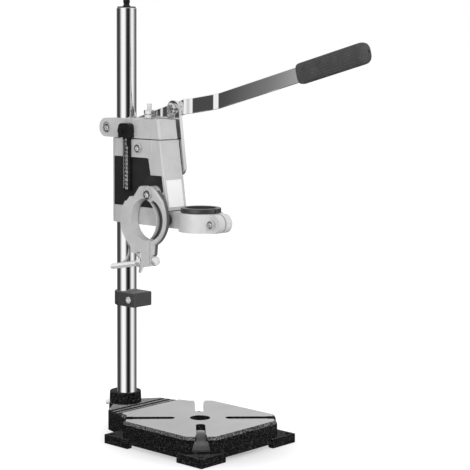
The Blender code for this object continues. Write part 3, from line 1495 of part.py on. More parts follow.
def side_jaw():
    """The hinged jaw: a thin half ring with a crescent pocket, an eye in front, and a thin lug."""
    back = RING_FACE + JAW_THICKNESS
    parting = PARTING_SHIFT + RING_PARTING_GAP / 2
    front = parting + JAW_LUG_THICKNESS
    seat = front - JAW_LUG_SEAT
    step = stud_height(front) + STUD_HEAD_RADIUS + RUNNING_GAP
    edge_start = (
        HINGE_SHIFT + HINGE_EYE_RADIUS * math.cos(JAW_EDGE_ANGLE),
        HINGE_RISE + HINGE_EYE_RADIUS * math.sin(JAW_EDGE_ANGLE),
    )
    edge_end = (
        edge_start[0] + JAW_EDGE_LENGTH * math.sin(JAW_EDGE_ANGLE),
        edge_start[1] - JAW_EDGE_LENGTH * math.cos(JAW_EDGE_ANGLE),
    )
    outline = [
        clamp_place(parting, lug_bottom(parting)),
        clamp_place(seat, lug_bottom(seat)),
        clamp_place(seat, step),
        clamp_place(front, step + JAW_LUG_SEAT),
        *clamp_arc(JAW_SHIFT, JAW_RISE, JAW_RADIUS, JAW_LOWER_ANGLE, JAW_UPPER_ANGLE),
        clamp_place(*edge_end),
        clamp_place(*edge_start),
        clamp_place(parting, HINGE_RISE + HINGE_EYE_RADIUS / 2),
    ]
    jaw = side_plate("side_jaw", outline, RING_FACE, back)
    pocket = rod(
        "pocket",
        (RING_FACE - CUT_OVERRUN, *clamp_place(JAW_POCKET_SHIFT, JAW_POCKET_RISE)),
        X_AXIS,
        JAW_POCKET_RADIUS,
        JAW_POCKET_DEPTH + CUT_OVERRUN,
    )
    overrun = CUT_OVERRUN + CUT_OVERRUN
    cut(pocket, bore_prism("lip", RING_FACE - overrun, RING_BACK, JAW_RIM))
    cut(jaw, pocket)
    join(jaw, hinge_disc("eye", RING_FACE, HINGE_PLANE - FIT_GAP, HINGE_EYE_RADIUS))
    cut(
        jaw,
        hinge_disc(
            "ring_eye_room",
            HINGE_PLANE - FIT_GAP,
            back + CUT_OVERRUN,
            HINGE_EYE_RADIUS + RUNNING_GAP,
        ),
        bore_prism("bore", RING_FACE - CUT_OVERRUN, RING_BACK + CUT_OVERRUN),
        stud_shank("stud_hole", FIT_GAP),
        hinge_shank("hinge_hole", FIT_GAP),
    )
    pivot = (STUD_PLANE, -HINGE_REACH, HINGE_HEIGHT)
    return publish(jaw, CAST_GREY, pivot)


def hinge_shank(name, grow=0.0):
    start = (RING_FACE - HINGE_HEAD_THICKNESS / 2, -HINGE_REACH, HINGE_HEIGHT)
    length = RING_THICKNESS + HINGE_HEAD_THICKNESS / 2
    if grow:
        length += CUT_OVERRUN
    return rod(name, start, X_AXIS, HINGE_RADIUS + grow, length, SMALL_SIDES)


def hinge_bolt():
    bolt = hinge_shank("jaw_hinge_bolt")
    head = rod(
        "head",
        (RING_FACE - FIT_GAP, -HINGE_REACH, HINGE_HEIGHT),
        -X_AXIS,
        HINGE_HEAD_RADIUS,
        HINGE_HEAD_THICKNESS,
        SMALL_SIDES,
    )
    return publish(join(bolt, head), ZINC)


def stud_axis():
    """The closing stud's start at its head and its direction, dropping a little to the rear."""
    seat = PARTING_SHIFT + RING_PARTING_GAP / 2 + JAW_LUG_THICKNESS - JAW_LUG_SEAT
    y, z = clamp_place(seat, stud_height(seat))
    direction = Vector((0, math.cos(CLAMP_AXIS_LEAN), -math.sin(CLAMP_AXIS_LEAN)))
    return Vector((STUD_PLANE, y - FIT_GAP, z)), direction


def stud_shank(name, grow=0.0):
    start, direction = stud_axis()
    lead = STUD_HEAD_THICKNESS / 2
    return rod(name, start - direction * lead, direction, STUD_RADIUS + grow, STUD_LENGTH + lead,
               SMALL_SIDES)


def closing_stud():
    """The long screw through both lugs, its head in front of the jaw's lug."""
    start, direction = stud_axis()
    stud = stud_shank("closing_stud")
    lead = STUD_HEAD_RADIUS * math.sin(CLAMP_AXIS_LEAN)
    head = rod(
        "head", start - direction * lead, -direction, STUD_HEAD_RADIUS, STUD_HEAD_THICKNESS, HEX_SIDES
    )
    return publish(join(stud, head), ZINC)


def wing_nut():
    """A hub with two flat wings, on the stud in the fixed lug's notch."""
    start, direction = stud_axis()
    seat = PARTING_SHIFT + RING_PARTING_GAP / 2 + JAW_LUG_THICKNESS - JAW_LUG_SEAT
    reach = (seat + NOTCH_FRONT) / math.cos(CLAMP_AXIS_LEAN) + WING_STAND_OFF
    place = start + direction * reach
    hub = rod("wing_nut", place, direction, WING_HUB_RADIUS, WING_HUB_LENGTH, SMALL_SIDES)
    root = WING_HUB_RADIUS - WING_ROOT
    middle = WING_HUB_LENGTH / 2
    wing_outline = [
        (-root, WING_ROOT),
        (root, WING_ROOT),
        (WING_SPAN, middle),
        (WING_SPAN, middle + WING_HEIGHT),
        (WING_SPAN - WING_HUB_RADIUS, middle + WING_HEIGHT),
        (root, WING_HUB_LENGTH - WING_ROOT),
        (-root, WING_HUB_LENGTH - WING_ROOT),
        (WING_HUB_RADIUS - WING_SPAN, middle + WING_HEIGHT),
        (-WING_SPAN, middle + WING_HEIGHT),
        (-WING_SPAN, middle),
    ]
    bm = outline_mesh("wings", wing_outline, WING_THICKNESS)
    across = Vector((0, direction.z, -direction.y))
    sideways = direction.cross(across)
    basis = Matrix.Identity(4)
    for row in range(3):
        basis[row][0] = across[row]
        basis[row][1] = direction[row]
        basis[row][2] = sideways[row]
        basis[row][3] = place[row]
    wings = add_mesh("wings", bm, basis)
    join(hub, wings)
    cut(hub, stud_shank("stud_hole", FIT_GAP))
    return publish(hub, ZINC, place)


def arm_stud_shank(name, grow=0.0):
    """The stud that ties the collar's arm to the carriage, along Y."""
    start = (0, -CARRIAGE_CHIN + STUD_SINK + grow, ARM_MIDDLE)
    return rod(name, start, -Y_AXIS, STUD_BORE_RADIUS + grow, STUD_SINK + STUD_SINK + grow + grow,
               SMALL_SIDES)


def arm_screw_shank(name, grow=0.0):
    start = (-ARM_HALF_WIDTH - ARM_SCREW_HEAD_THICKNESS / 2, -ARM_SCREW_REACH, ARM_MIDDLE)
    end = -STUD_BORE_RADIUS - FIT_GAP
    if grow:
        end += CUT_OVERRUN
    return rod(name, start, X_AXIS, ARM_SCREW_RADIUS + grow, end - start[0], SMALL_SIDES)


def collar_arm_screw():
    screw = arm_screw_shank("collar_arm_screw")
    head = rod(
        "head",
        (-ARM_HALF_WIDTH - FIT_GAP, -ARM_SCREW_REACH, ARM_MIDDLE),
        -X_AXIS,
        ARM_SCREW_HEAD_RADIUS,
        ARM_SCREW_HEAD_THICKNESS,
        SMALL_SIDES,
    )
    return publish(join(screw, head), BLACK_STEEL)


def tool_collar():
    """The clamp collar over the table's hole: ring, arm, and two round ears across the slit."""
    ring = rod("tool_collar", (0, -REACH, COLLAR_BOTTOM), Z_AXIS, COLLAR_RADIUS, COLLAR_HEIGHT)
    arm = box(
        "arm",
        (-ARM_HALF_WIDTH, -REACH + COLLAR_BORE, ARM_BOTTOM),
        (ARM_HALF_WIDTH, -CARRIAGE_CHIN - FIT_GAP, ARM_BOTTOM + ARM_HEIGHT),
    )
    half = COLLAR_HEIGHT / 2
    end = -REACH - EAR_BOLT_REACH
    outline = [
        (-REACH - COLLAR_BORE, COLLAR_TOP),
        *arc((end, COLLAR_MIDDLE), half, 90, 270, SMALL_SIDES),
        (-REACH - COLLAR_BORE, COLLAR_BOTTOM),
    ]
    ears = side_plate("ears", outline, -EAR_HALF_WIDTH, EAR_HALF_WIDTH)
    join(ring, arm, ears)
    bore = rod("bore", (0, -REACH, COLLAR_BOTTOM - CUT_OVERRUN), Z_AXIS, COLLAR_BORE,
               COLLAR_HEIGHT + CUT_OVERRUN + CUT_OVERRUN)
    slit = box(
        "slit",
        (-COLLAR_SLIT / 2, end - half - CUT_OVERRUN, COLLAR_BOTTOM - CUT_OVERRUN),
        (COLLAR_SLIT / 2, -REACH - COLLAR_BORE + CUT_OVERRUN, COLLAR_TOP + CUT_OVERRUN),
    )
    cut(
        ring,
        bore,
        slit,
        ear_shank("ear_hole", FIT_GAP),
        arm_stud_shank("stud_hole", FIT_GAP),
        arm_screw_shank("screw_hole", FIT_GAP),
    )
    return publish(ring, CAST_GREY)


def ear_shank(name, grow=0.0):
    start = (-EAR_HALF_WIDTH - EAR_HEAD_THICKNESS / 2, -REACH - EAR_BOLT_REACH, COLLAR_MIDDLE)
    length = EAR_HALF_WIDTH + EAR_HALF_WIDTH + EAR_HEAD_THICKNESS / 2 + EAR_NUT_THICKNESS
    if grow:
        length += CUT_OVERRUN
    return rod(name, start, X_AXIS, EAR_BOLT_RADIUS + grow, length, SMALL_SIDES)


def collar_screw():
    """The socket screw across the collar's ears."""
    screw = ear_shank("collar_screw")
    head = rod(
        "head",
        (-EAR_HALF_WIDTH - FIT_GAP, -REACH - EAR_BOLT_REACH, COLLAR_MIDDLE),
        -X_AXIS,
        EAR_HEAD_RADIUS,
        EAR_HEAD_THICKNESS,
        SMALL_SIDES,
    )
    join(screw, head)
    key = rod(
        "key",
        (-EAR_HALF_WIDTH - EAR_HEAD_THICKNESS / 2, -REACH - EAR_BOLT_REACH, COLLAR_MIDDLE),
        -X_AXIS,
        EAR_BOLT_RADIUS,
        EAR_HEAD_THICKNESS,
        HEX_SIDES,
    )
    return publish(cut(screw, key), ZINC)


def collar_nut():
    start = (EAR_HALF_WIDTH + FIT_GAP, -REACH - EAR_BOLT_REACH, COLLAR_MIDDLE)
    nut = rod("collar_nut", start, X_AXIS, EAR_HEAD_RADIUS, EAR_NUT_THICKNESS - FIT_GAP, HEX_SIDES)
    return publish(cut(nut, ear_shank("nut_hole", FIT_GAP)), ZINC)


def reducer_ring():
    """The flanged plastic sleeve that fits the collar's bore, split at the front."""
    outer = COLLAR_BORE - FIT_GAP
    seat = COLLAR_TOP + FIT_GAP
    top = seat + REDUCER_FLANGE_HEIGHT
    bottom = COLLAR_BOTTOM
    profile = [
        (REDUCER_FLANGE_RADIUS, top),
        (REDUCER_FLANGE_RADIUS, seat),
        (outer, seat),
        (outer, bottom),
        (REDUCER_BORE, bottom),
        (REDUCER_BORE, top),
    ]
    sleeve = turned("reducer_ring", profile, place=Matrix.Translation(-Y_AXIS * REACH), ring=True)
    slit = box(
        "slit",
        (-REDUCER_SLIT / 2, -REACH - REDUCER_FLANGE_RADIUS - CUT_OVERRUN, bottom - CUT_OVERRUN),
        (REDUCER_SLIT / 2, -REACH - REDUCER_BORE + CUT_OVERRUN, top + CUT_OVERRUN),
    )
    return publish(cut(sleeve, slit), BLACK_PLASTIC)


def stop_block():
    """The round-backed block that is clamped on the column as a lower stop."""
    outline = [
        (-STOP_HALF_WIDTH, -STOP_FRONT),
        (STOP_HALF_WIDTH, -STOP_FRONT),
        *arc((0, 0), STOP_HALF_WIDTH, 0, 180, SMALL_SIDES),
    ]
    block = flat_plate("stop_block", outline, STOP_BOTTOM, STOP_BOTTOM + STOP_HEIGHT)
    bevel_edges(block, lambda a, b: abs(a.z - b.z) < FIT_GAP, STOP_EDGE)
    cut(block, column_bore(STOP_BOTTOM, STOP_BOTTOM + STOP_HEIGHT), stop_screw_shank("hole", FIT_GAP))
    return publish(block, CAST_BLACK)


def stop_screw_shank(name, grow=0.0):
    height = STOP_BOTTOM + STOP_HEIGHT / 2
    start = (-STOP_HALF_WIDTH - STOP_SCREW_HEAD_THICKNESS / 2, -STOP_SCREW_REACH, height)
    length = STOP_HALF_WIDTH + STOP_SCREW_HEAD_THICKNESS / 2 + grow
    return rod(name, start, X_AXIS, STOP_SCREW_RADIUS + grow, length, SMALL_SIDES)


def stop_screw():
    height = STOP_BOTTOM + STOP_HEIGHT / 2
    screw = stop_screw_shank("stop_screw")
    head = rod(
        "head",
        (-STOP_HALF_WIDTH - FIT_GAP, -STOP_SCREW_REACH, height),
        -X_AXIS,
        STOP_SCREW_HEAD_RADIUS,
        STOP_SCREW_HEAD_THICKNESS,
        SMALL_SIDES,
    )
    return publish(join(screw, head), ZINC)


def build():
    base_casting()
    publish(set_screw("column_set_screw"), ZINC)
    column_tube()
    column_cap()
    top_bracket()
    bracket_clamp_bolt()
    bracket_clamp_nut()
    guide_rod()
    guide_rod_nuts()
    guide_rod_washer()
    return_spring()
    carriage_casting()
    side_cover("left_side_cover", -1)
    side_cover("right_side_cover", 1)
    cover_rivets()
    guide_screw()
    depth_scale()
    scale_holder()
    label_plate()
    feed_link()
    link_screw()
    link_pin()
    link_pin_nut()
    lever_bar()
    fulcrum_pin()
    lever_grip()
    side_ring()
    side_jaw()
    hinge_bolt()
    closing_stud()
    wing_nut()
    publish(ring_screw_shank("side_ring_screw"), ZINC)
    publish(arm_stud_shank("collar_arm_stud"), ZINC)
    tool_collar()
    collar_arm_screw()
    collar_screw()
    collar_nut()
    reducer_ring()
    stop_block()
    stop_screw()


build()
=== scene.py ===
import math

import bmesh
import bpy
import numpy as np
from mathutils import Euler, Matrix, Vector


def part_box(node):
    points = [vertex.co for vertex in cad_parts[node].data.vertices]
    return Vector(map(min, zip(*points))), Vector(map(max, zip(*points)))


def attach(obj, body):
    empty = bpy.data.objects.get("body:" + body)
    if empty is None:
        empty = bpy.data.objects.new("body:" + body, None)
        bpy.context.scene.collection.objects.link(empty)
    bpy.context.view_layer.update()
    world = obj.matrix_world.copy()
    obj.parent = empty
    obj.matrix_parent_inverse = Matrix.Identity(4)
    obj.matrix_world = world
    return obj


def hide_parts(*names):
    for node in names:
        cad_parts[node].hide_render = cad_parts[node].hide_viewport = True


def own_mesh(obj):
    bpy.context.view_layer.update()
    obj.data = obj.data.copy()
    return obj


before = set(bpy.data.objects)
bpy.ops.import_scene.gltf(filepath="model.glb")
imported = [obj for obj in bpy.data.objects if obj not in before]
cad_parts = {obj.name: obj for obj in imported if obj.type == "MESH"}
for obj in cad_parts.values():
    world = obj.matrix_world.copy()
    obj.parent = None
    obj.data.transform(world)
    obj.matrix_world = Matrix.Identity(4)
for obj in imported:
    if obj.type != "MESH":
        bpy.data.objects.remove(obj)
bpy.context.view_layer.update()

# Sizes in metres
COLUMN_RADIUS = 0.0125
COLUMN_WALL = 0.0015
COLUMN_LOW = 0.013
COLUMN_TOP = 0.533
TABLE_TOP = 0.0312
TABLE_EDGE = 0.0034
NECK_TOP = 0.0296
NECK_END = -0.048
GROOVE_COUNT = 3
GROOVE_FIRST = 0.0215
GROOVE_PITCH = 0.0093
ROD_REACH = 0.0415

# Half the width of the dark coat that lies in each groove and beside it
GROOVE_SHADE = 0.0027

# The camera's frame and focal length in the photograph's pixels, and its sensor in millimetres
FRAME_PIXELS = 470.0
FOCAL_PIXELS = 1455.25
SENSOR = 36.0

Z_AXIS = Vector((0, 0, 1))


# Finishes
class Nodes:
    """A node tree and the few ways in which nodes are added to it."""

    def __init__(self, tree):
        self.tree = tree

    def add(self, kind, **settings):
        """A node whose settings go to its inputs of the same name, or else to the node itself."""
        node = self.tree.nodes.new(kind)
        for key, value in settings.items():
            socket_name = key.replace("_", " ")
            if socket_name in node.inputs:
                node.inputs[socket_name].default_value = value
            else:
                setattr(node, key, value)
        return node

    def link(self, source, target):
        self.tree.links.new(source, target)

    def feed(self, sockets, values):
        """Puts each value on its socket: a number or a colour as it is, anything else as a link."""
        for socket, value in zip(sockets, values):
            if isinstance(value, (int, float)):
                socket.default_value = value
            elif isinstance(value, tuple):
                socket.default_value = (*value, 1.0)
            else:
                self.link(value, socket)

    def split(self, vector):
        """The vector's X, Y and Z as outputs of those names."""
        node = self.add("ShaderNodeSeparateXYZ")
        self.link(vector, node.inputs[0])
        return node.outputs

    def spread(self, value, low, high, from_low=0.3, from_high=0.7, **settings):
        """Maps a value from its own range to low ... high."""
        node = self.add(
            "ShaderNodeMapRange", From_Min=from_low, From_Max=from_high, To_Min=low, To_Max=high, **settings
        )
        self.link(value, node.inputs["Value"])
        return node.outputs["Result"]

    def math(self, operation, first, second=0.0):
        node = self.add("ShaderNodeMath", operation=operation)
        self.feed(node.inputs, (first, second))
        return node.outputs["Value"]

    def over(self, value, limit):
        return self.math("GREATER_THAN", value, limit)

    def under(self, value, limit):
        return self.math("LESS_THAN", value, limit)

    def product(self, first, *others):
        """The product of all, which for shares of 0 or 1 is 1 where every one is 1."""
        for other in others:
            first = self.math("MULTIPLY", first, other)
        return first

    def mix(self, factor, first, second):
        """Two colours mixed, the second by the factor."""
        node = self.add("ShaderNodeMix", data_type="RGBA")
        self.link(factor, node.inputs["Factor"])
        self.feed((node.inputs[6], node.inputs[7]), (first, second))
        return node.outputs[2]

    def either(self, share, first, second):
        """Two shaders mixed, the second by the share."""
        node = self.add("ShaderNodeMixShader")
        self.feed(node.inputs, (share, first, second))
        return node.outputs[0]


def emptied(owner):
    """The node tree of a world or a material with nothing in it yet."""
    owner.use_nodes = True
    owner.node_tree.nodes.clear()
    return Nodes(owner.node_tree)


class Finish(Nodes):
    """A Principled material and the nodes that feed it."""

    def __init__(self, name, colour, roughness, metallic=0.0):
        self.material = bpy.data.materials.new(name)
        self.material.use_nodes = True
        super().__init__(self.material.node_tree)
        self.shader = self.tree.nodes["Principled BSDF"]
        self.shader.inputs["Base Color"].default_value = (*colour, 1.0)
        self.shader.inputs["Roughness"].default_value = roughness
        self.shader.inputs["Metallic"].default_value = metallic
        self.place = self.add("ShaderNodeTexCoord").outputs["Object"]
        self.height = None

    def stretched(self, scale, turn=(0, 0, 0)):
        """Object coordinates turned and scaled for a drawn-out pattern."""
        mapping = self.add("ShaderNodeMapping", Scale=scale, Rotation=turn)
        self.link(self.place, mapping.inputs["Vector"])
        return mapping.outputs["Vector"]

    def noise(self, scale, detail=3.0, rough=0.55, where=None):
        node = self.add("ShaderNodeTexNoise", Scale=scale, Detail=detail, Roughness=rough)
        self.link(where or self.place, node.inputs["Vector"])
        return node.outputs["Fac"]

    def colour(self, source):
        self.link(source, self.shader.inputs["Base Color"])

    def roughness(self, source):
        self.link(source, self.shader.inputs["Roughness"])

    def gloss(self, share):
        """How strongly the surface shines, 0.5 being plain plastic or paint: a share or a pattern."""
        self.feed([self.shader.inputs["Specular IOR Level"]], [share])

    def bump(self, height, distance):
        """Adds a relief of the given depth over those that are there."""
        node = self.add("ShaderNodeBump", Distance=distance, Strength=1.0)
        self.link(height, node.inputs["Height"])
        if self.height is not None:
            self.link(self.height, node.inputs["Normal"])
        self.height = node.outputs["Normal"]
        self.link(self.height, self.shader.inputs["Normal"])


def cast_paint(name, dark, light, roughness, metallic, grain=2600.0, depth=0.00004, gloss=0.5):
    """Painted or tumbled casting: a mottled tone, a fine orange peel and slight dents."""
    made = Finish(name, light, roughness, metallic)
    made.gloss(gloss)
    tone = made.spread(made.noise(55.0, 4.0), 0.0, 1.0)
    made.colour(made.mix(tone, dark, light))
    made.roughness(made.spread(made.noise(240.0, 3.0), roughness - 0.06, roughness + 0.08))
    made.bump(made.noise(grain, 2.0), depth)
    made.bump(made.noise(160.0, 2.0), 0.00008)
    return made


def plated(name, colour, roughness, scratch=0.03, metallic=1.0):
    """Plated steel: a clear mirror with faint drawn lines in its roughness."""
    made = Finish(name, colour, roughness, metallic)
    lines = made.noise(1.0, 2.0, where=made.stretched((900, 900, 30)))
    made.roughness(made.spread(lines, roughness, roughness + scratch))
    made.bump(lines, 0.000002)
    return made


def lever_plating():
    """Chrome on the flat bar, which bows slightly outwards: its height is -d^2 times 0.42 metres, where d is
    the reach beyond the second bend."""
    made = plated("lever_chrome", (0.80, 0.80, 0.80), 0.055, 0.02)
    beyond = made.math("SUBTRACT", -SECOND_BEND[0] - SECOND_BEND[1], made.split(made.place)["Y"])
    beyond = made.math("MAXIMUM", beyond, 0.0)
    made.bump(made.product(beyond, beyond, -1.0), 0.42)
    return made


def recessed(made, edge, pocket_shade_colour):
    """Paints shade into a finish from the X of a pocket's edge inwards by 2 mm, where little light comes."""
    depth = made.spread(made.split(made.place)["X"], 0.0, 1.0, edge, edge + 0.002)
    socket = made.shader.inputs["Base Color"]
    made.colour(made.mix(depth, socket.links[0].from_socket, pocket_shade_colour))
    return made


def moulded(name, dark, light, roughness, grain=3200.0, depth=0.00003, gloss=0.5):
    """Moulded plastic or rubber with a fine spark-eroded grain."""
    made = Finish(name, light, roughness)
    made.gloss(gloss)
    made.colour(made.mix(made.spread(made.noise(90.0), 0.0, 1.0), dark, light))
    made.roughness(made.spread(made.noise(420.0), roughness - 0.05, roughness + 0.07))
    made.bump(made.noise(grain, 1.0), depth)
    return made


def table_iron():
    """Black wrinkle-coated iron, ground bare on its flat tops and scraped on the table's slanted edge. With
    rows = (-y - first) / pitch + 1/2, the grooves' coat lies where |frac(rows) - 1/2| is small."""
    made = Finish("coated_iron", (0.02, 0.02, 0.02), 0.5)
    upright = made.split(made.add("ShaderNodeNewGeometry").outputs["Normal"])["Z"]
    place = made.split(made.place)
    margin = 0.0004
    level = made.over(upright, 0.97)
    slanted = made.over(upright, 0.3)
    high = made.over(place["Z"], NECK_TOP - margin)
    below = made.under(place["Z"], TABLE_TOP + 0.002)
    on_neck = made.under(place["Z"], NECK_TOP + margin)
    top_band = made.over(place["Z"], TABLE_TOP - TABLE_EDGE - margin)
    beyond_neck = made.under(place["Y"], NECK_END)

    rows = made.math("MULTIPLY", place["Y"], -1 / GROOVE_PITCH)
    rows = made.math("ADD", rows, 0.5 - GROOVE_FIRST / GROOVE_PITCH)
    off_middle = made.math("ABSOLUTE", made.math("SUBTRACT", made.math("FRACT", rows), 0.5))
    beside = made.under(off_middle, GROOVE_SHADE / GROOVE_PITCH)
    grooved = made.product(on_neck, beside, made.over(rows, 0.0), made.under(rows, GROOVE_COUNT))
    ground = made.product(level, high, below, made.math("SUBTRACT", 1.0, grooved))
    coated = made.math("SUBTRACT", 1.0, ground)
    scraped = made.product(slanted, below, top_band, beyond_neck)

    # Light specks in the black coat: partly the coat's own flecks, partly painted glints
    flecks_and_painted_glints = made.spread(made.noise(620.0, 3.0), 0.0, 1.0, 0.58, 0.72)
    worn = made.spread(made.noise(560.0, 3.0), 0.0, 1.0, 0.45, 0.64)
    coat = made.mix(flecks_and_painted_glints, (0.004, 0.004, 0.004), (0.10, 0.10, 0.10))
    edge = made.mix(worn, (0.02, 0.02, 0.02), (0.24, 0.24, 0.24))
    coat = made.mix(scraped, coat, edge)

    swirl = made.noise(1.0, 4.0, where=made.stretched((60, 900, 60), (0, 0, 0.6)))
    steel = made.mix(made.spread(swirl, 0.0, 1.0), (0.46, 0.46, 0.46), (0.58, 0.58, 0.58))
    steel = made.mix(made.spread(made.noise(14.0, 2.0), 0.0, 0.5), steel, (0.66, 0.66, 0.66))
    neck = made.mix(worn, (0.10, 0.10, 0.10), (0.44, 0.44, 0.44))
    steel = made.mix(on_neck, steel, neck)

    made.colour(made.mix(ground, coat, steel))
    made.gloss(made.spread(made.noise(800.0, 2.0), 0.03, 0.8, 0.54, 0.7))
    made.link(made.math("MULTIPLY", ground, 0.85), made.shader.inputs["Metallic"])
    rough = made.add("ShaderNodeMix", data_type="FLOAT")
    rough_coat = made.spread(made.noise(1100.0, 3.0), 0.35, 0.7)
    rough_steel = made.spread(swirl, 0.34, 0.46)
    made.feed((rough.inputs["Factor"], rough.inputs[2], rough.inputs[3]), (ground, rough_coat, rough_steel))
    made.roughness(rough.outputs[0])
    made.bump(made.product(made.noise(950.0, 5.0, 0.7), coated), 0.0007)
    return made


# The lever's bends, each as its reach from the column's axis and its length
FIRST_BEND = (0.0775, 0.0112)
SECOND_BEND = (0.1230, 0.0068)

CAST_GREY = cast_paint("cast_grey_paint", (0.56, 0.56, 0.56), (0.63, 0.63, 0.635), 0.42, 0.2)
COLLAR_GREY = cast_paint("collar_metal", (0.60, 0.60, 0.60), (0.67, 0.67, 0.67), 0.36, 0.12)
STOP_BLACK = cast_paint("stop_coat", (0.032, 0.032, 0.032), (0.048, 0.048, 0.048), 0.42, 0.0)
BRIGHT_ZINC = plated("bright_screw_metal", (0.72, 0.72, 0.72), 0.16, 0.05, 1.0)
# The jaw's colour darkens inside its pocket, from 3.5 mm in from its lowest X: painted shade
JAW_GREY = recessed(
    cast_paint("jaw_paint", (0.56, 0.56, 0.56), (0.63, 0.63, 0.635), 0.42, 0.2),
    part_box("side_jaw")[0][0] + 0.0035, (0.10, 0.10, 0.10),
)
TABLE_IRON = table_iron()
CHROME = plated("column_chrome", (0.86, 0.86, 0.86), 0.05)
LEVER_CHROME = lever_plating()
ZINC = plated("zinc_plate", (0.86, 0.86, 0.86), 0.27, 0.08, 0.6)
BLACK_STEEL = plated("blackened_steel", (0.06, 0.06, 0.06), 0.32, 0.1, 0.7)
COVER_PLASTIC = moulded("cover_plastic", (0.012, 0.012, 0.012), (0.018, 0.018, 0.018), 0.42, gloss=0.25)
SCALE_PLASTIC = moulded("scale_plastic", (0.007, 0.007, 0.007), (0.012, 0.012, 0.012), 0.36, gloss=0.2)
RING_PLASTIC = moulded("ring_plastic", (0.026, 0.026, 0.026), (0.036, 0.036, 0.036), 0.3, 900.0, 0.00001, 0.8)
GRIP_RUBBER = moulded("grip_rubber", (0.05, 0.05, 0.05), (0.07, 0.07, 0.07), 0.6, 1800.0, 0.00008, 0.3)
LABEL_PAPER = moulded("label_paper", (0.93, 0.93, 0.93), (0.97, 0.97, 0.97), 0.35, 900.0, 0.00001)
PRINT_WHITE = moulded("scale_print", (0.62, 0.62, 0.62), (0.78, 0.78, 0.78), 0.5, 900.0, 0.00001)


# Shapes
def new_object(name, mesh, finish):
    """An object for the mesh, in the scene and with one material."""
    obj = bpy.data.objects.new(name, mesh)
    bpy.context.scene.collection.objects.link(obj)
    mesh.materials.clear()
    mesh.materials.append(finish.material)
    return obj


def mesh_object(name, points, faces, finish):
    mesh = bpy.data.meshes.new(name)
    mesh.from_pydata(np.asarray(points, float).reshape(-1, 3).tolist(), [], faces)
    mesh.update()
    return new_object(name, mesh, finish)


def right_way_out(obj, merge=0.0):
    """Turns all faces outwards, after points closer than merge are made one."""
    bm = bmesh.new()
    bm.from_mesh(obj.data)
    if merge:
        bmesh.ops.remove_doubles(bm, verts=bm.verts, dist=merge)
    bmesh.ops.recalc_face_normals(bm, faces=bm.faces)
    bm.to_mesh(obj.data)
    bm.free()


def grid(name, points, finish, closed=False):
    """Quads over an (m, n, 3) array whose columns wrap. Its rows wrap too when closed is set, and otherwise
    the first and last rows are each closed by one face."""
    rows, columns = points.shape[:2]
    u, v = np.meshgrid(np.arange(rows if closed else rows - 1), np.arange(columns), indexing="ij")
    next_u, next_v = (u + 1) % rows, (v + 1) % columns
    corners = [u * columns + v, u * columns + next_v, next_u * columns + next_v, next_u * columns + v]
    faces = np.stack(corners, axis=-1).reshape(-1, 4).tolist()
    if not closed:
        faces.append(list(range(columns))[::-1])
        faces.append(list(range((rows - 1) * columns, rows * columns)))
    obj = mesh_object(name, points, faces, finish)
    right_way_out(obj, 1e-7)
    return obj


def rounded(outline, radius, steps, closed=True):
    """Each corner p of an outline becomes the curve (1-t)^2 a + 2t(1-t) p + t^2 b, where a and b lie the
    radius (at most 0.45 of the side) away from p towards its neighbours."""
    p = np.asarray(outline, float)
    before, after = np.roll(p, 1, axis=0), np.roll(p, -1, axis=0)
    to_before, to_after = before - p, after - p
    reach_before = np.linalg.norm(to_before, axis=1, keepdims=True)
    reach_after = np.linalg.norm(to_after, axis=1, keepdims=True)
    size = np.broadcast_to(np.asarray(radius, float).reshape(-1, 1), (len(p), 1))
    cut = np.minimum(size, 0.45 * np.minimum(reach_before, reach_after))
    a = p + to_before * cut / reach_before
    b = p + to_after * cut / reach_after
    t = np.linspace(0, 1, steps + 1)[None, :, None]
    curve = (1 - t) ** 2 * a[:, None] + 2 * t * (1 - t) * p[:, None] + t**2 * b[:, None]
    if not closed:
        curve[0, :] = p[0]
        curve[-1, :] = p[-1]
    return curve.reshape(-1, p.shape[1])


def basis(axis):
    """Two unit vectors square to the axis, as numpy rows with the axis itself last."""
    w = np.array(Vector(axis).normalized())
    guess = np.array([0.0, 0.0, 1.0]) if abs(w[2]) < 0.9 else np.array([1.0, 0.0, 0.0])
    u = np.cross(guess, w)
    u /= np.linalg.norm(u)
    return u, np.cross(w, u), w


def round_angles(count):
    """Angles evenly round a circle, without the last that would repeat the first."""
    return np.arange(count) * math.tau / count


def turned(name, profile, finish, sides=64, ring=False):
    """Surface of revolution round the column's axis w: point(s, a) = h(s) w + r(s) (cos a u + sin a v)."""
    radius, height = np.asarray(profile, float).T
    u, v, w = basis(Z_AXIS)
    angle = round_angles(sides)
    spoke = np.cos(angle)[:, None] * u + np.sin(angle)[:, None] * v
    points = height[:, None, None] * w + radius[:, None, None] * spoke
    return grid(name, points, finish, closed=ring)


def smooth(obj, angle):
    """Smooth shading but for edges that turn by more than the angle, in degrees."""
    obj.data.shade_smooth()
    obj.data.set_sharp_from_angle(angle=math.radians(angle))
    return obj


def fit(obj, body, slot, *nodes):
    """The piece rides on a body and stands for the nodes, which it hides. The slot is not used."""
    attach(obj, body)
    if nodes:
        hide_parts(*nodes)
    return obj


# Edges that turn by more than this many degrees are rounded, and shaded as edges
EDGE_ANGLE = 30


def eased(node, body, slot, finish, width, segments=2):
    """The node's own surface, its doubles merged and its flat neighbours joined, with its edges rounded."""
    bm = bmesh.new()
    bm.from_mesh(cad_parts[node].data)
    bmesh.ops.remove_doubles(bm, verts=bm.verts, dist=2e-6)
    bmesh.ops.dissolve_limit(bm, angle_limit=math.radians(0.6), verts=bm.verts, edges=bm.edges)
    mesh = bpy.data.meshes.new(node + "_eased")
    bm.to_mesh(mesh)
    bm.free()
    obj = smooth(new_object(node + "_eased", mesh, finish), EDGE_ANGLE)
    if width:
        step = obj.modifiers.new("edges", "BEVEL")
        step.width = width
        step.segments = segments
        step.limit_method = "ANGLE"
        step.angle_limit = math.radians(EDGE_ANGLE)
        step.harden_normals = True
        step.miter_outer = "MITER_ARC"
    return fit(obj, body, slot, node)


# Rows of points to each turn of a thread, and the radius at which a closed end begins
THREAD_STEPS = 7
POLE = 0.0001


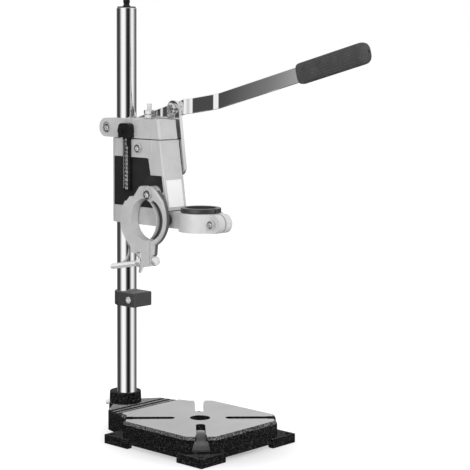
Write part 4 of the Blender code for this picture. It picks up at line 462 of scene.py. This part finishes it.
def hexagon(angle):
    """A hexagon's outline as a share of the radius of its corners: cos 30 / cos(angle folded into +-30)."""
    folded = (angle + math.pi / 6) % (math.pi / 3) - math.pi / 6
    return math.cos(math.pi / 6) / np.cos(folded)


def merged(name, pieces, finish):
    """One object from the meshes of several."""
    bm = bmesh.new()
    for piece in pieces:
        bm.from_mesh(piece.data)
        bpy.data.objects.remove(piece, do_unlink=True)
    mesh = bpy.data.meshes.new(name)
    bm.to_mesh(mesh)
    bm.free()
    return new_object(name, mesh, finish)


def fastener(name, rows, start, axis, finish, thread=None, ring=False, sides=72):
    """Screw, nut or stud from rows (radius r, height h, q): point = start + h w + r m(a) (cos a u + sin a v),
    where m = 1 + q (hexagon(a) - 1) goes from round, q = 0, to six-sided, q = 1. A thread (low, high, pitch,
    depth) takes depth |2 frac(h / pitch + a / tau) - 1| off the radius between its two heights, but not off
    six-sided rows or rows less than 2 mm from the axis."""
    fine = []
    closing = rows[1:] + rows[:1] if ring else rows[1:]
    for row, after in zip(rows, closing):
        fine.append(row)
        run = abs(after[1] - row[1])
        if thread and row[0] == after[0] and run > thread[2]:
            steps = int(run / thread[2] * THREAD_STEPS)
            fine += [(row[0], row[1] + (after[1] - row[1]) * i / steps, 0.0) for i in range(1, steps)]
    if not ring:
        fine.append(rows[-1])
    radius, height, six = np.array(fine).T
    u, v, w = basis(axis)
    angle = round_angles(sides)
    m = 1 + six[:, None] * (hexagon(angle)[None] - 1)
    r = radius[:, None] * m
    if thread:
        low, high, pitch, depth = thread
        phase = (height[:, None] / pitch + angle[None] / math.tau) % 1.0
        inside = np.clip((height - low) / pitch, 0, 1) * np.clip((high - height) / pitch, 0, 1)
        level = (radius > 0.002)[:, None] * (six == 0)[:, None]
        r = r - depth * np.abs(2 * phase - 1) * inside[:, None] * level
    spoke = np.cos(angle)[:, None] * u + np.sin(angle)[:, None] * v
    points = np.array(start) + height[:, None, None] * w + r[:, :, None] * spoke[None]
    return smooth(grid(name, points, finish, closed=ring), 38)


def head_rows(radius, thickness, key, key_depth):
    """Rows of a head from the bottom of its hexagon key (or its middle) out to the edge of its underside,
    height 0 being the top of the head. A head without a key is six-sided itself, with a chamfered top."""
    if not key:
        return [
            (POLE, 0.0, 0.0), (radius * 0.86, 0.0, 0.0), (radius, radius * 0.075, 1.0),
            (radius, thickness - 0.0002, 1.0), (radius * 0.99, thickness, 1.0),
        ]
    edge = min(0.0009, thickness * 0.3)
    return [
        (POLE, key_depth + key * 0.35, 0.0), (key * 0.97, key_depth, 1.0), (key, key_depth - 0.0002, 1.0),
        (key, 0.0003, 1.0), (key + 0.0003, 0.0, 0.6), (radius - edge, 0.0, 0.0),
        (radius - edge * 0.45, edge * 0.12, 0.0), (radius - edge * 0.12, edge * 0.45, 0.0),
        (radius, edge, 0.0), (radius, thickness - 0.0002, 0.0), (radius - 0.0002, thickness, 0.0),
    ]


def screw(node, body, side, head, shank, finish, slot, key, key_depth):
    """The node's screw, lying along X with its head on the given side; head is (radius, thickness), and the
    hexagon key in it, if any, has a radius and a depth."""
    low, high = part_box(node)
    y, z = (low[1] + high[1]) / 2, (low[2] + high[2]) / 2
    length = high[0] - low[0]
    start = (low[0] if side < 0 else high[0], y, z)
    rows = head_rows(*head, key, key_depth)
    rows += [(shank, head[1], 0.0), (shank, length - 0.0006, 0.0), (shank - 0.0006, length, 0.0)]
    rows += [(POLE, length, 0.0)]
    thread = (head[1] + (length - head[1]) * 0.45, length - 0.0004, 0.001, 0.0005)
    made = fastener(node + "_surface", rows, start, (-side, 0, 0), finish, thread)
    fit(made, body, slot, node)


def nut(node, body, axis, radius, bore, finish, slot):
    """A six-sided nut with chamfered corners at both ends, along axis X (0) or Z (2)."""
    low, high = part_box(node)
    thickness = high[axis] - low[axis]
    foot = [(a + b) / 2 for a, b in zip(low, high)]
    foot[axis] = low[axis]
    ease = radius * 0.075
    rows = [
        (bore, 0.0004, 0.0), (bore + 0.0004, 0.0, 0.0), (radius * 0.86, 0.0, 0.0), (radius, ease, 1.0),
        (radius, thickness - ease, 1.0), (radius * 0.86, thickness, 0.0), (bore + 0.0004, thickness, 0.0),
        (bore, thickness - 0.0004, 0.0),
    ]
    direction = [0.0, 0.0, 0.0]
    direction[axis] = 1.0
    made = fastener(node + "_surface", rows, foot, direction, finish, ring=True)
    fit(made, body, slot, node)


# Camera, light and surroundings
camera_data = bpy.data.cameras.new("camera")
camera = bpy.data.objects.new("camera", camera_data)
bpy.context.scene.collection.objects.link(camera)
bpy.context.scene.camera = camera
camera_data.sensor_width = SENSOR
camera_data.lens = FOCAL_PIXELS / FRAME_PIXELS * SENSOR
camera_data.shift_y = -39.6838 / FRAME_PIXELS
camera.location = (-1.25983248, -1.35189003, 0.470196609)
camera.rotation_euler = Euler([math.radians(angle) for angle in (84.641942, -0.337075, -47.222626)], "XYZ")
camera_data.clip_end = 60.0


def lamp(name, place, target, size, power):
    """A round lamp that shines from its place at the target and isn't mirrored in the metal."""
    data = bpy.data.lights.new(name, "AREA")
    data.shape = "DISK"
    data.size = size
    data.energy = power
    obj = bpy.data.objects.new(name, data)
    bpy.context.scene.collection.objects.link(obj)
    obj.location = place
    obj.rotation_euler = (Vector(target) - Vector(place)).to_track_quat("-Z", "Y").to_euler()
    obj.visible_glossy = False


lamp("key", (-1.0, -2.35, 1.3), (0, -0.05, 0.25), 1.2, 27.0)
lamp("fill", (-2.4, -0.6, 1.1), (0, 0, 0.25), 1.8, 14.0)
lamp("top", (0.1, 0.2, 2.6), (0, -0.1, 0.1), 1.6, 14.0)


# The studio's brightness in a mirror at each bearing, in degrees from +X
BANDS = (
    (-180, 1.0), (-165, 1.0), (-156, 0.96), (-143, 0.55), (-137, 0.1), (-120, 0.006), (-104, 0.02),
    (-96, 0.12), (-88, 0.4), (-82, 0.7), (-69, 0.95), (-55, 0.9), (-39, 0.5), (-20, 0.13), (5, 0.13),
    (60, 0.2), (75, 0.2), (100, 0.06), (128, 0.045), (138, 0.08), (147, 0.22), (160, 0.66), (170, 0.96),
    (180, 1.0),
)
WHITE = (1, 1, 1, 1)


def surroundings():
    """A white studio whose mirror image has upright dark and light bands at fixed bearings round the stand,
    and an even pale sky above them."""
    world = bpy.data.worlds.new("studio")
    bpy.context.scene.world = world
    made = emptied(world)
    way = made.split(made.add("ShaderNodeTexCoord").outputs["Generated"])
    bearing = made.math("ARCTAN2", way["Y"], way["X"])
    ramp = made.add("ShaderNodeValToRGB")
    made.link(made.math("DIVIDE", made.math("ADD", bearing, math.pi), math.tau), ramp.inputs["Fac"])
    stops = ramp.color_ramp.elements
    while len(stops) < len(BANDS):
        stops.new(0.5)
    for stop, (degrees, value) in zip(stops, BANDS):
        stop.position = (degrees + 180.0) / 360.0
        stop.color = (value, value, value, 1.0)
    open_sky = made.spread(way["Z"], 0.0, 1.0, 0.05, 0.14)
    mirror = made.add("ShaderNodeBackground", Strength=1.1)
    made.link(made.mix(open_sky, ramp.outputs["Color"], (0.8, 0.8, 0.8)), mirror.inputs["Color"])
    soft = made.add("ShaderNodeBackground", Color=WHITE, Strength=0.55)
    white = made.add("ShaderNodeBackground", Color=WHITE)
    rays = made.add("ShaderNodeLightPath").outputs
    lit = made.either(rays["Is Glossy Ray"], soft.outputs[0], mirror.outputs[0])
    shown = made.either(rays["Is Camera Ray"], lit, white.outputs[0])
    made.link(shown, made.add("ShaderNodeOutputWorld").inputs["Surface"])


def floor():
    """A floor that the camera sees as plain white but for a painted soft shadow round the stand's foot: the
    camera's share of plain light is 1.42 away from the foot and falls smoothly under it."""
    span, low = 6.0, -0.0004
    mesh = bpy.data.meshes.new("floor")
    corners = [(-span, -span, low), (span, -span, low), (span, span, low), (-span, span, low)]
    mesh.from_pydata(corners, [], [(0, 1, 2, 3)])
    material = bpy.data.materials.new("floor_white")
    made = emptied(material)
    shifted = made.add("ShaderNodeMapping", Location=(0.0, 1.28, 0.0), Scale=(11.5, 9.8, 0.0))
    made.link(made.add("ShaderNodeTexCoord").outputs["Object"], shifted.inputs["Vector"])
    length = made.add("ShaderNodeVectorMath", operation="LENGTH")
    made.link(shifted.outputs["Vector"], length.inputs[0])
    away = length.outputs["Value"]
    # Painted shadow: the camera's plain light falls off round and under the stand's foot
    clear = made.spread(away, 0.8, 1.42, 0.55, 1.75, interpolation_type="SMOOTHSTEP")
    under = made.spread(away, 0.1, 1.0, 0.4, 0.85, interpolation_type="SMOOTHSTEP")
    matt = made.add("ShaderNodeBsdfDiffuse", Color=(0.8, 0.8, 0.8, 1))
    bright = made.add("ShaderNodeEmission", Color=WHITE)
    made.link(made.product(clear, under), bright.inputs["Strength"])
    share = made.math("MULTIPLY", made.add("ShaderNodeLightPath").outputs["Is Camera Ray"], 0.6)
    shown = made.either(share, matt.outputs[0], bright.outputs[0])
    made.link(shown, made.add("ShaderNodeOutputMaterial").inputs["Surface"])
    mesh.materials.append(material)
    obj = bpy.data.objects.new("floor", mesh)
    bpy.context.scene.collection.objects.link(obj)
    obj.visible_glossy = False


surroundings()
floor()
bpy.context.scene.view_settings.view_transform = "Standard"


# The stand
def column():
    """Tube: outer and inner walls joined by small chamfers at both ends."""
    r, inner, edge = COLUMN_RADIUS, COLUMN_RADIUS - COLUMN_WALL, 0.0004
    profile = [
        (r - edge, COLUMN_TOP), (r, COLUMN_TOP - edge), (r, COLUMN_LOW + edge), (r - edge, COLUMN_LOW),
        (inner + edge, COLUMN_LOW), (inner, COLUMN_LOW + edge), (inner, COLUMN_TOP - edge),
        (inner + edge, COLUMN_TOP),
    ]
    tube = turned("column_tube_surface", profile, CHROME, 128, ring=True)
    fit(smooth(tube, 30), "column", "chrome_steel", "column_tube")


def column_cap():
    """Plug with a rounded disc and a small waisted knob."""
    low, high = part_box("column_cap")
    top = high[2]
    seat = COLUMN_TOP + 0.0003
    disc = seat + 0.0014
    profile = [
        (POLE, top), (0.0042, top), (0.0042, disc + 0.0048), (0.0036, disc + 0.0042), (0.0036, disc + 0.003),
        (0.0048, disc + 0.0003), (0.0118, disc), (0.0118, seat), (0.0107, seat), (0.0107, low[2]),
        (POLE, low[2]),
    ]
    cap = turned("column_cap_surface", rounded(profile, 0.0006, 4, closed=False), SCALE_PLASTIC)
    fit(smooth(cap, 40), "column", "black_plastic", "column_cap")


LEVER_INNER = 0.0232
LEVER_THICKNESS = 0.004
LEVER_HALF = 0.0095
LEVER_FULCRUM = (0.004, 0.3862)
OUTER_LEAN = math.radians(14.8)

# Reaches at which the bar's rise changes, and the length that each change takes
SLOPE_CHANGES = (0.0790, 0.1240)
SLOPE_BLEND = 0.003

# The slot that the link's pin slides in: the pin's place at rest, the slot's direction and half its width
SLOT_PIN = np.array([-0.0645, 0.4072])
SLOT_WAY = np.array([-0.9529, 0.3032])
SLOT_HALF = 0.0055


def rise(t):
    """3t^2 - 2t^3 between 0 and 1, level at both ends."""
    t = np.clip(t, 0, 1)
    return 3 * t**2 - 2 * t**3


def lever_line(y):
    """The bar's inner plane and middle height over reach y: straight runs of slope 0.296, 0.151 and 0.264,
    blended over 3 mm, and sideways steps of 6 and 3 mm that follow 3t^2 - 2t^3 over the two bends."""
    slopes = [math.tan(math.radians(16.5)), math.tan(math.radians(8.6)), math.tan(OUTER_LEAN)]
    fine = np.linspace(-0.0135, 0.356, 4001)
    first, second = (np.clip((fine - change) / SLOPE_BLEND + 0.5, 0, 1) for change in SLOPE_CHANGES)
    slope = slopes[0] + (slopes[1] - slopes[0]) * first + (slopes[2] - slopes[1]) * second
    height = np.cumsum(slope) * (fine[1] - fine[0])
    height += LEVER_FULCRUM[1] - np.interp(-LEVER_FULCRUM[0], fine, height)
    reach = -np.asarray(y)
    x = LEVER_INNER + sum(
        step * rise((reach - start) / length)
        for step, (start, length) in ((0.006, FIRST_BEND), (0.003, SECOND_BEND))
    )
    return x, np.interp(reach, fine, height)


def lever():
    """Flat bar: a rounded 4 x 19 mm section at each reach of the middle line, its fulcrum end half round."""
    reach = np.concatenate([
        np.linspace(0.0135, 0.0005, 14), np.linspace(-0.002, -0.0772, 26), np.linspace(-0.0780, -0.0890, 23),
        np.linspace(-0.0905, -0.1220, 9), np.linspace(-0.1228, -0.1300, 19), np.linspace(-0.133, -0.3519, 30),
    ])
    x, z = lever_line(reach)
    tail = np.clip((reach - LEVER_FULCRUM[0]) / LEVER_HALF, 0, 1)
    share = np.sqrt(np.maximum(1 - tail**2, 0.02))
    thick, half = LEVER_THICKNESS, LEVER_HALF
    corner = rounded([(0, -half), (thick, -half), (thick, half), (0, half)], 0.0008, 3)
    points = np.empty((len(reach), len(corner), 3))
    points[:, :, 0] = x[:, None] + corner[None, :, 0]
    points[:, :, 1] = reach[:, None]
    points[:, :, 2] = z[:, None] + corner[None, :, 1] * share[:, None]
    bar = grid("lever_bar_surface", points, LEVER_CHROME)
    slot_cut(bar)
    smooth(bar, 30)
    flats = bar.modifiers.new("flats", "WEIGHTED_NORMAL")
    flats.keep_sharp = True
    fit(bar, "lever", "chrome_steel", "lever_bar")


def slot_cut(bar):
    """Cuts the pin's long slot and the fulcrum's eye, both rounded prisms through the bar."""
    angle = np.linspace(-math.pi / 2, math.pi / 2, 13)[:, None]
    across = np.array([-SLOT_WAY[1], SLOT_WAY[0]])
    arc = SLOT_HALF * (np.cos(angle) * SLOT_WAY + np.sin(angle) * across)
    ring = np.concatenate([SLOT_PIN + 0.0068 * SLOT_WAY + arc, SLOT_PIN - 0.0034 * SLOT_WAY - arc])
    turn = round_angles(32)
    eye = np.array(LEVER_FULCRUM) + 0.0042 * np.column_stack([np.cos(turn), np.sin(turn)])
    for name, outline in (("slot_cutter", ring), ("eye_cutter", eye)):
        points = np.empty((2, len(outline), 3))
        points[:, :, 0] = np.array([[0.020], [0.032]])
        points[:, :, 1:] = outline[None]
        cutter = grid(name, points, LEVER_CHROME)
        step = bar.modifiers.new(name, "BOOLEAN")
        step.operation = "DIFFERENCE"
        step.solver = "EXACT"
        step.object = cutter
        bpy.context.view_layer.update()
        graph = bpy.context.evaluated_depsgraph_get()
        mesh = bpy.data.meshes.new_from_object(bar.evaluated_get(graph))
        bar.modifiers.clear()
        bar.data = mesh
        bpy.data.objects.remove(cutter, do_unlink=True)


# The grip's near end, its length, its half height and its width as a share of its height
GRIP_START = -0.258
GRIP_LENGTH = 0.103
GRIP_RADIUS = 0.0125
GRIP_WIDTH_SHARE = 0.656
FLUTES = 26
FLUTE_DEPTH = 0.0008


def grip():
    """Fluted grip: at angle a its section is r q (0.656 cos a, sin a), q = (|cos a|^3 + |sin a|^3)^(-1/3),
    less 0.8 mm max(0, cos 26a) in flutes that fade out at both ends, closed by a domed end with a small hole.
    Near its middle line, where that hole is, q gives way to 1."""
    direction = np.array([0.0, -math.cos(OUTER_LEAN), math.sin(OUTER_LEAN)])
    x, z = lever_line(np.array([GRIP_START]))
    start = np.array([float(x[0]) + LEVER_THICKNESS / 2, GRIP_START, float(z[0])])
    length, radius = GRIP_LENGTH, GRIP_RADIUS
    profile = np.array([
        (0.0022, 0.0012), (0.0098, 0.0003), (0.0118, 0.0), (radius - 0.0004, 0.0012), (radius, 0.003),
        (radius, 0.012), (radius, 0.05), (radius, length - 0.016), (radius, length - 0.0095),
        (radius - 0.0006, length - 0.006), (radius - 0.0022, length - 0.0032),
        (radius - 0.0048, length - 0.0012), (radius - 0.008, length - 0.0002), (0.0026, length),
        (0.0020, length - 0.0006), (0.0018, length - 0.005), (POLE, length - 0.0055),
    ])
    along = np.concatenate([[0], np.cumsum(np.linalg.norm(np.diff(profile, axis=0), axis=1))])
    s = np.linspace(0, along[-1], 200)
    r = np.interp(s, along, profile[:, 0])
    h = np.interp(s, along, profile[:, 1])
    angle = round_angles(12 * FLUTES)
    cos, sin = np.cos(angle), np.sin(angle)
    fade = np.clip((h - 0.004) / 0.004, 0, 1) * np.clip((length - 0.008 - h) / 0.006, 0, 1)
    fade *= r > radius * 0.9
    fluted = r[:, None] - FLUTE_DEPTH * np.maximum(np.cos(FLUTES * angle), 0.0) * fade[:, None]
    q = (np.abs(cos) ** 3 + np.abs(sin) ** 3) ** (-1 / 3)
    fluted = fluted * (1.0 + (q - 1.0) * np.clip((r - 0.004) / 0.004, 0, 1)[:, None])
    u = np.array([1.0, 0.0, 0.0])
    spoke = GRIP_WIDTH_SHARE * cos[:, None] * u + sin[:, None] * np.cross(direction, u)
    points = start + h[:, None, None] * direction + fluted[:, :, None] * spoke[None]
    surface = smooth(grid("lever_grip_surface", points, GRIP_RUBBER), 50)
    fit(surface, "lever", "grip_rubber", "lever_grip")


column()
column_cap()
lever()
grip()

base = eased("base_casting", "base", "cast_black", TABLE_IRON, 0.0007, 3)
# The column mirrors the studio's bands down to its foot, as in the photo, and not the pale table
base.visible_glossy = False
eased("column_set_screw", "base", "zinc_steel", ZINC, 0.0003)
eased("top_bracket", "head", "cast_grey", CAST_GREY, 0.0006, 3)
eased("depth_scale", "head", "black_plastic", SCALE_PLASTIC, 0.0003)
eased("scale_holder", "head", "black_plastic", SCALE_PLASTIC, 0.0007, 3)
eased("carriage_casting", "carriage", "cast_grey", CAST_GREY, 0.0005, 3)
eased("left_side_cover", "carriage", "black_plastic", COVER_PLASTIC, 0.0003)
eased("right_side_cover", "carriage", "black_plastic", COVER_PLASTIC, 0.0003)
eased("feed_link", "carriage", "chrome_steel", LEVER_CHROME, 0.0005, 3)
eased("side_ring", "carriage", "cast_grey", CAST_GREY, 0.0005, 3)
eased("tool_collar", "carriage", "cast_grey", COLLAR_GREY, 0.0005, 3)
eased("reducer_ring", "carriage", "black_plastic", RING_PLASTIC, 0.0009, 4)
eased("side_jaw", "jaw", "cast_grey", JAW_GREY, 0.0004, 3)
eased("stop_block", "stop", "cast_black", STOP_BLACK, 0.0006, 3)

for row in (
    ("bracket_clamp_bolt", "head", -1, (0.0058, 0.0036), 0.0032, BRIGHT_ZINC, "zinc_steel", 0.0031, 0.0024),
    ("fulcrum_pin", "head", 1, (0.0066, 0.004), 0.0038, ZINC, "zinc_steel", 0.0, 0.0),
    ("guide_screw", "carriage", -1, (0.0056, 0.003), 0.0025, BRIGHT_ZINC, "zinc_steel", 0.0028, 0.0015),
    ("link_screw", "carriage", 1, (0.0048, 0.003), 0.0026, ZINC, "zinc_steel", 0.0, 0.0),
    ("link_pin", "carriage", -1, (0.0064, 0.0042), 0.004, BRIGHT_ZINC, "zinc_steel", 0.0, 0.0),
    ("jaw_hinge_bolt", "carriage", -1, (0.0064, 0.003), 0.003, BRIGHT_ZINC, "zinc_steel", 0.003, 0.0015),
    ("collar_arm_screw", "carriage", -1, (0.0076, 0.0032), 0.0026, BLACK_STEEL, "black_steel",
     0.0034, 0.0015),
    ("collar_screw", "carriage", -1, (0.0052, 0.0046), 0.003, BRIGHT_ZINC, "zinc_steel", 0.0028, 0.0026),
    ("stop_screw", "stop", -1, (0.0042, 0.0018), 0.0021, ZINC, "zinc_steel", 0.0019, 0.001),
):
    screw(*row)

for row in (
    ("bracket_clamp_nut", "head", 0, 0.0058, 0.0035, ZINC),
    ("guide_rod_nut_upper", "head", 2, 0.0073, 0.0034, BRIGHT_ZINC),
    ("guide_rod_nut_lock", "head", 2, 0.0073, 0.0034, BRIGHT_ZINC),
    ("guide_rod_nut_lower", "head", 2, 0.0073, 0.0034, ZINC),
    ("link_pin_nut", "carriage", 0, 0.0064, 0.0043, ZINC),
    ("collar_nut", "carriage", 0, 0.0052, 0.0033, ZINC),
):
    nut(*row, "zinc_steel")


def guide_rod():
    """Rod with a thread over its whole length and chamfered ends."""
    low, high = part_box("guide_rod")
    length, r = high[2] - low[2], 0.0031
    rows = [
        (POLE, 0.0, 0.0), (r - 0.0006, 0.0, 0.0), (r, 0.0006, 0.0), (r, length - 0.0006, 0.0),
        (r - 0.0006, length, 0.0), (POLE, length, 0.0),
    ]
    start = (0, -ROD_REACH, low[2])
    thread = (0.0004, length - 0.0004, 0.001, 0.0005)
    made = fastener("guide_rod_surface", rows, start, Z_AXIS, ZINC, thread, sides=40)
    fit(made, "head", "zinc_steel", "guide_rod")


def washer():
    """Flat ring with eased outer edges."""
    low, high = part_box("guide_rod_washer")
    thickness, r = high[2] - low[2], 0.0078
    rows = [
        (0.0034, 0.0, 0.0), (r - 0.0003, 0.0, 0.0), (r, 0.0003, 0.0), (r, thickness - 0.0003, 0.0),
        (r - 0.0003, thickness, 0.0), (0.0034, thickness, 0.0),
    ]
    start = (0, -ROD_REACH, low[2])
    made = fastener("guide_rod_washer_surface", rows, start, Z_AXIS, ZINC, ring=True)
    fit(made, "head", "zinc_steel", "guide_rod_washer")


def return_spring():
    """The spring between the rod's washer and the carriage, with a mesh of its own."""
    spring = eased("return_spring", "carriage", "zinc_steel", ZINC, 0)
    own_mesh(spring)


# The closing stud, which leans down towards its rear end; its head is (radius, thickness)
STUD_LEAN = math.radians(10.6)
STUD_WAY = np.array([0.0, math.cos(STUD_LEAN), -math.sin(STUD_LEAN)])
STUD_RADIUS = 0.0036
STUD_LENGTH = 0.078
STUD_HEAD = (0.0056, 0.0042)
HUB_RADIUS = 0.0062


def stud_tail():
    """The middle of the stud's rear end, which lies a tilted radius inside the upper rear edge of its box."""
    low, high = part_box("closing_stud")
    return np.array([
        (low[0] + high[0]) / 2, high[1] - STUD_RADIUS * math.sin(STUD_LEAN),
        low[2] + STUD_RADIUS * math.cos(STUD_LEAN),
    ])


def closing_stud():
    """Stud with a six-sided head in front and a thread that runs to its rear end."""
    r, (head, thick) = STUD_RADIUS, STUD_HEAD
    lead = head * math.sin(STUD_LEAN)
    whole = STUD_LENGTH + lead + thick
    front = stud_tail() - STUD_WAY * whole
    rows = head_rows(head, thick, 0.0, 0.0)
    rows += [(r, thick, 0.0), (r, whole - 0.0008, 0.0), (r - 0.0008, whole, 0.0), (POLE, whole, 0.0)]
    thread = (thick + 0.010, whole - 0.0004, 0.00125, 0.0006)
    made = fastener("closing_stud_surface", rows, front, STUD_WAY, ZINC, thread, sides=48)
    fit(made, "jaw", "zinc_steel", "closing_stud")


def wing_nut():
    """Hub with a rounded shoulder and two wings: at share s from root to tip a wing's middle lies
    3.4 + 9.0 s mm out and 2.9 + 4.9 s^1.2 mm back, its section an oval that is 1.3 - 0.3 s mm by
    3.6 + 0.4 s mm in half sizes and closes like sqrt(1 - s^6) at the tip."""
    tail = stud_tail()
    front_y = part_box("wing_nut")[0][1] + HUB_RADIUS * math.sin(STUD_LEAN)
    front = np.array([tail[0], front_y, tail[2] + (tail[1] - front_y) * math.tan(STUD_LEAN)])
    rows = [
        (0.0040, 0.0003, 0.0), (0.0043, 0.0, 0.0), (0.0058, 0.0, 0.0), (HUB_RADIUS, 0.0004, 0.0),
        (HUB_RADIUS, 0.0045, 0.0), (0.0056, 0.0078, 0.0), (0.0051, 0.0087, 0.0), (0.0045, 0.0090, 0.0),
        (0.0041, 0.0087, 0.0),
    ]
    pieces = [fastener("hub", rows, front, STUD_WAY, ZINC, ring=True)]
    s = np.concatenate([np.linspace(0, 0.8, 12), 0.8 + 0.2 * np.sin(np.linspace(0.1, 1, 9) * math.pi / 2)])
    t = round_angles(28)[None, :, None]
    close = np.sqrt(np.maximum(1 - s**6, 0.0004))
    thin = ((0.0013 - 0.0003 * s) * close)[:, None, None] * np.cos(t) * np.array([1.0, 0, 0])
    tall = ((0.0036 + 0.0004 * s) * close)[:, None, None] * np.sin(t) * STUD_WAY
    across = np.array([0.0, -math.sin(STUD_LEAN), -math.cos(STUD_LEAN)])
    out = (0.0034 + 0.0090 * s)[:, None] * across
    back = (0.0029 + 0.0049 * s**1.2)[:, None] * STUD_WAY
    for side in (-1, 1):
        middle = front + side * out + back
        pieces.append(smooth(grid("wing", middle[:, None] + thin + tall, ZINC), 60))
    fit(merged("wing_nut_surface", pieces, ZINC), "wing", "zinc_steel", "wing_nut")


# Each digit's strokes, as (across, up) on a grid one wide and two high
STROKES = {
    "0": [[(0, 0), (1, 0), (1, 2), (0, 2), (0, 0)]],
    "1": [[(0.2, 1.6), (0.6, 2), (0.6, 0)]],
    "2": [[(0, 2), (1, 2), (1, 1), (0, 1), (0, 0), (1, 0)]],
    "3": [[(0, 2), (1, 2), (1, 0), (0, 0)], [(0.2, 1), (1, 1)]],
    "4": [[(0, 2), (0, 1), (1, 1)], [(0.8, 2), (0.8, 0)]],
    "5": [[(1, 2), (0, 2), (0, 1), (1, 1), (1, 0), (0, 0)]],
    "6": [[(1, 2), (0, 2), (0, 0), (1, 0), (1, 1), (0, 1)]],
}


def bar_between(first, second, width, x_low, x_high):
    """Eight corners of a printed stroke between two (y, z) places."""
    first, second = np.array(first), np.array(second)
    along = second - first
    along = along / max(np.linalg.norm(along), 1e-9)
    side = np.array([-along[1], along[0]]) * width / 2
    cap = along * width / 2
    flat = [first - cap - side, second + cap - side, second + cap + side, first - cap + side]
    return [(x, *point) for x in (x_low, x_high) for point in flat]


def printed(name, strokes, width, x_low, x_high, finish):
    """All strokes, each a thin six-sided block, as one mesh."""
    sides = ((0, 3, 2, 1), (4, 5, 6, 7), (0, 1, 5, 4), (1, 2, 6, 5), (2, 3, 7, 6), (3, 0, 4, 7))
    points, faces = [], []
    for first, second in strokes:
        count = len(points)
        points += bar_between(first, second, width, x_low, x_high)
        faces += [[count + i for i in side] for side in sides]
    obj = mesh_object(name, points, faces, finish)
    right_way_out(obj)
    return obj


def scale_print():
    """White marks each millimetre down the scale's face and numbers each five, 0 to 60."""
    low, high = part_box("depth_scale")
    x_low, x_high = low[0] - 0.00006, low[0] + 0.0002
    top, front = high[2] - 0.0145, high[1] - 0.0012
    wide, tall, gap = 0.0015, 0.0030, 0.0008
    marks, digits = [], []
    for mark in range(61):
        z = top - mark * 0.001
        numbered = mark % 5 == 0
        marks.append(((front, z), (front - (0.0026 if numbered else 0.0016), z)))
        for index, letter in enumerate(str(mark) if numbered else ""):
            left = front - 0.0040 - index * (wide + gap)
            for path in STROKES[letter]:
                placed = [(left - wide * across, z - tall / 2 + tall * up / 2) for across, up in path]
                digits += list(zip(placed, placed[1:]))
    for name, strokes, width in (("scale_marks", marks, 0.00022), ("scale_numbers", digits, 0.0005)):
        fit(printed(name, strokes, width, x_low, x_high, PRINT_WHITE), "head", "label_white")


guide_rod()
washer()
return_spring()
closing_stud()
wing_nut()
scale_print()

# Nodes whose own shape is right get only a finish
for node, finish in (
    ("label_plate", LABEL_PAPER), ("side_ring_screw", ZINC), ("collar_arm_stud", ZINC),
    ("cover_rivet_left_front", ZINC), ("cover_rivet_left_rear", ZINC),
    ("cover_rivet_right_front", ZINC), ("cover_rivet_right_rear", ZINC),
):
    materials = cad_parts[node].data.materials
    materials.clear()
    materials.append(finish.material)
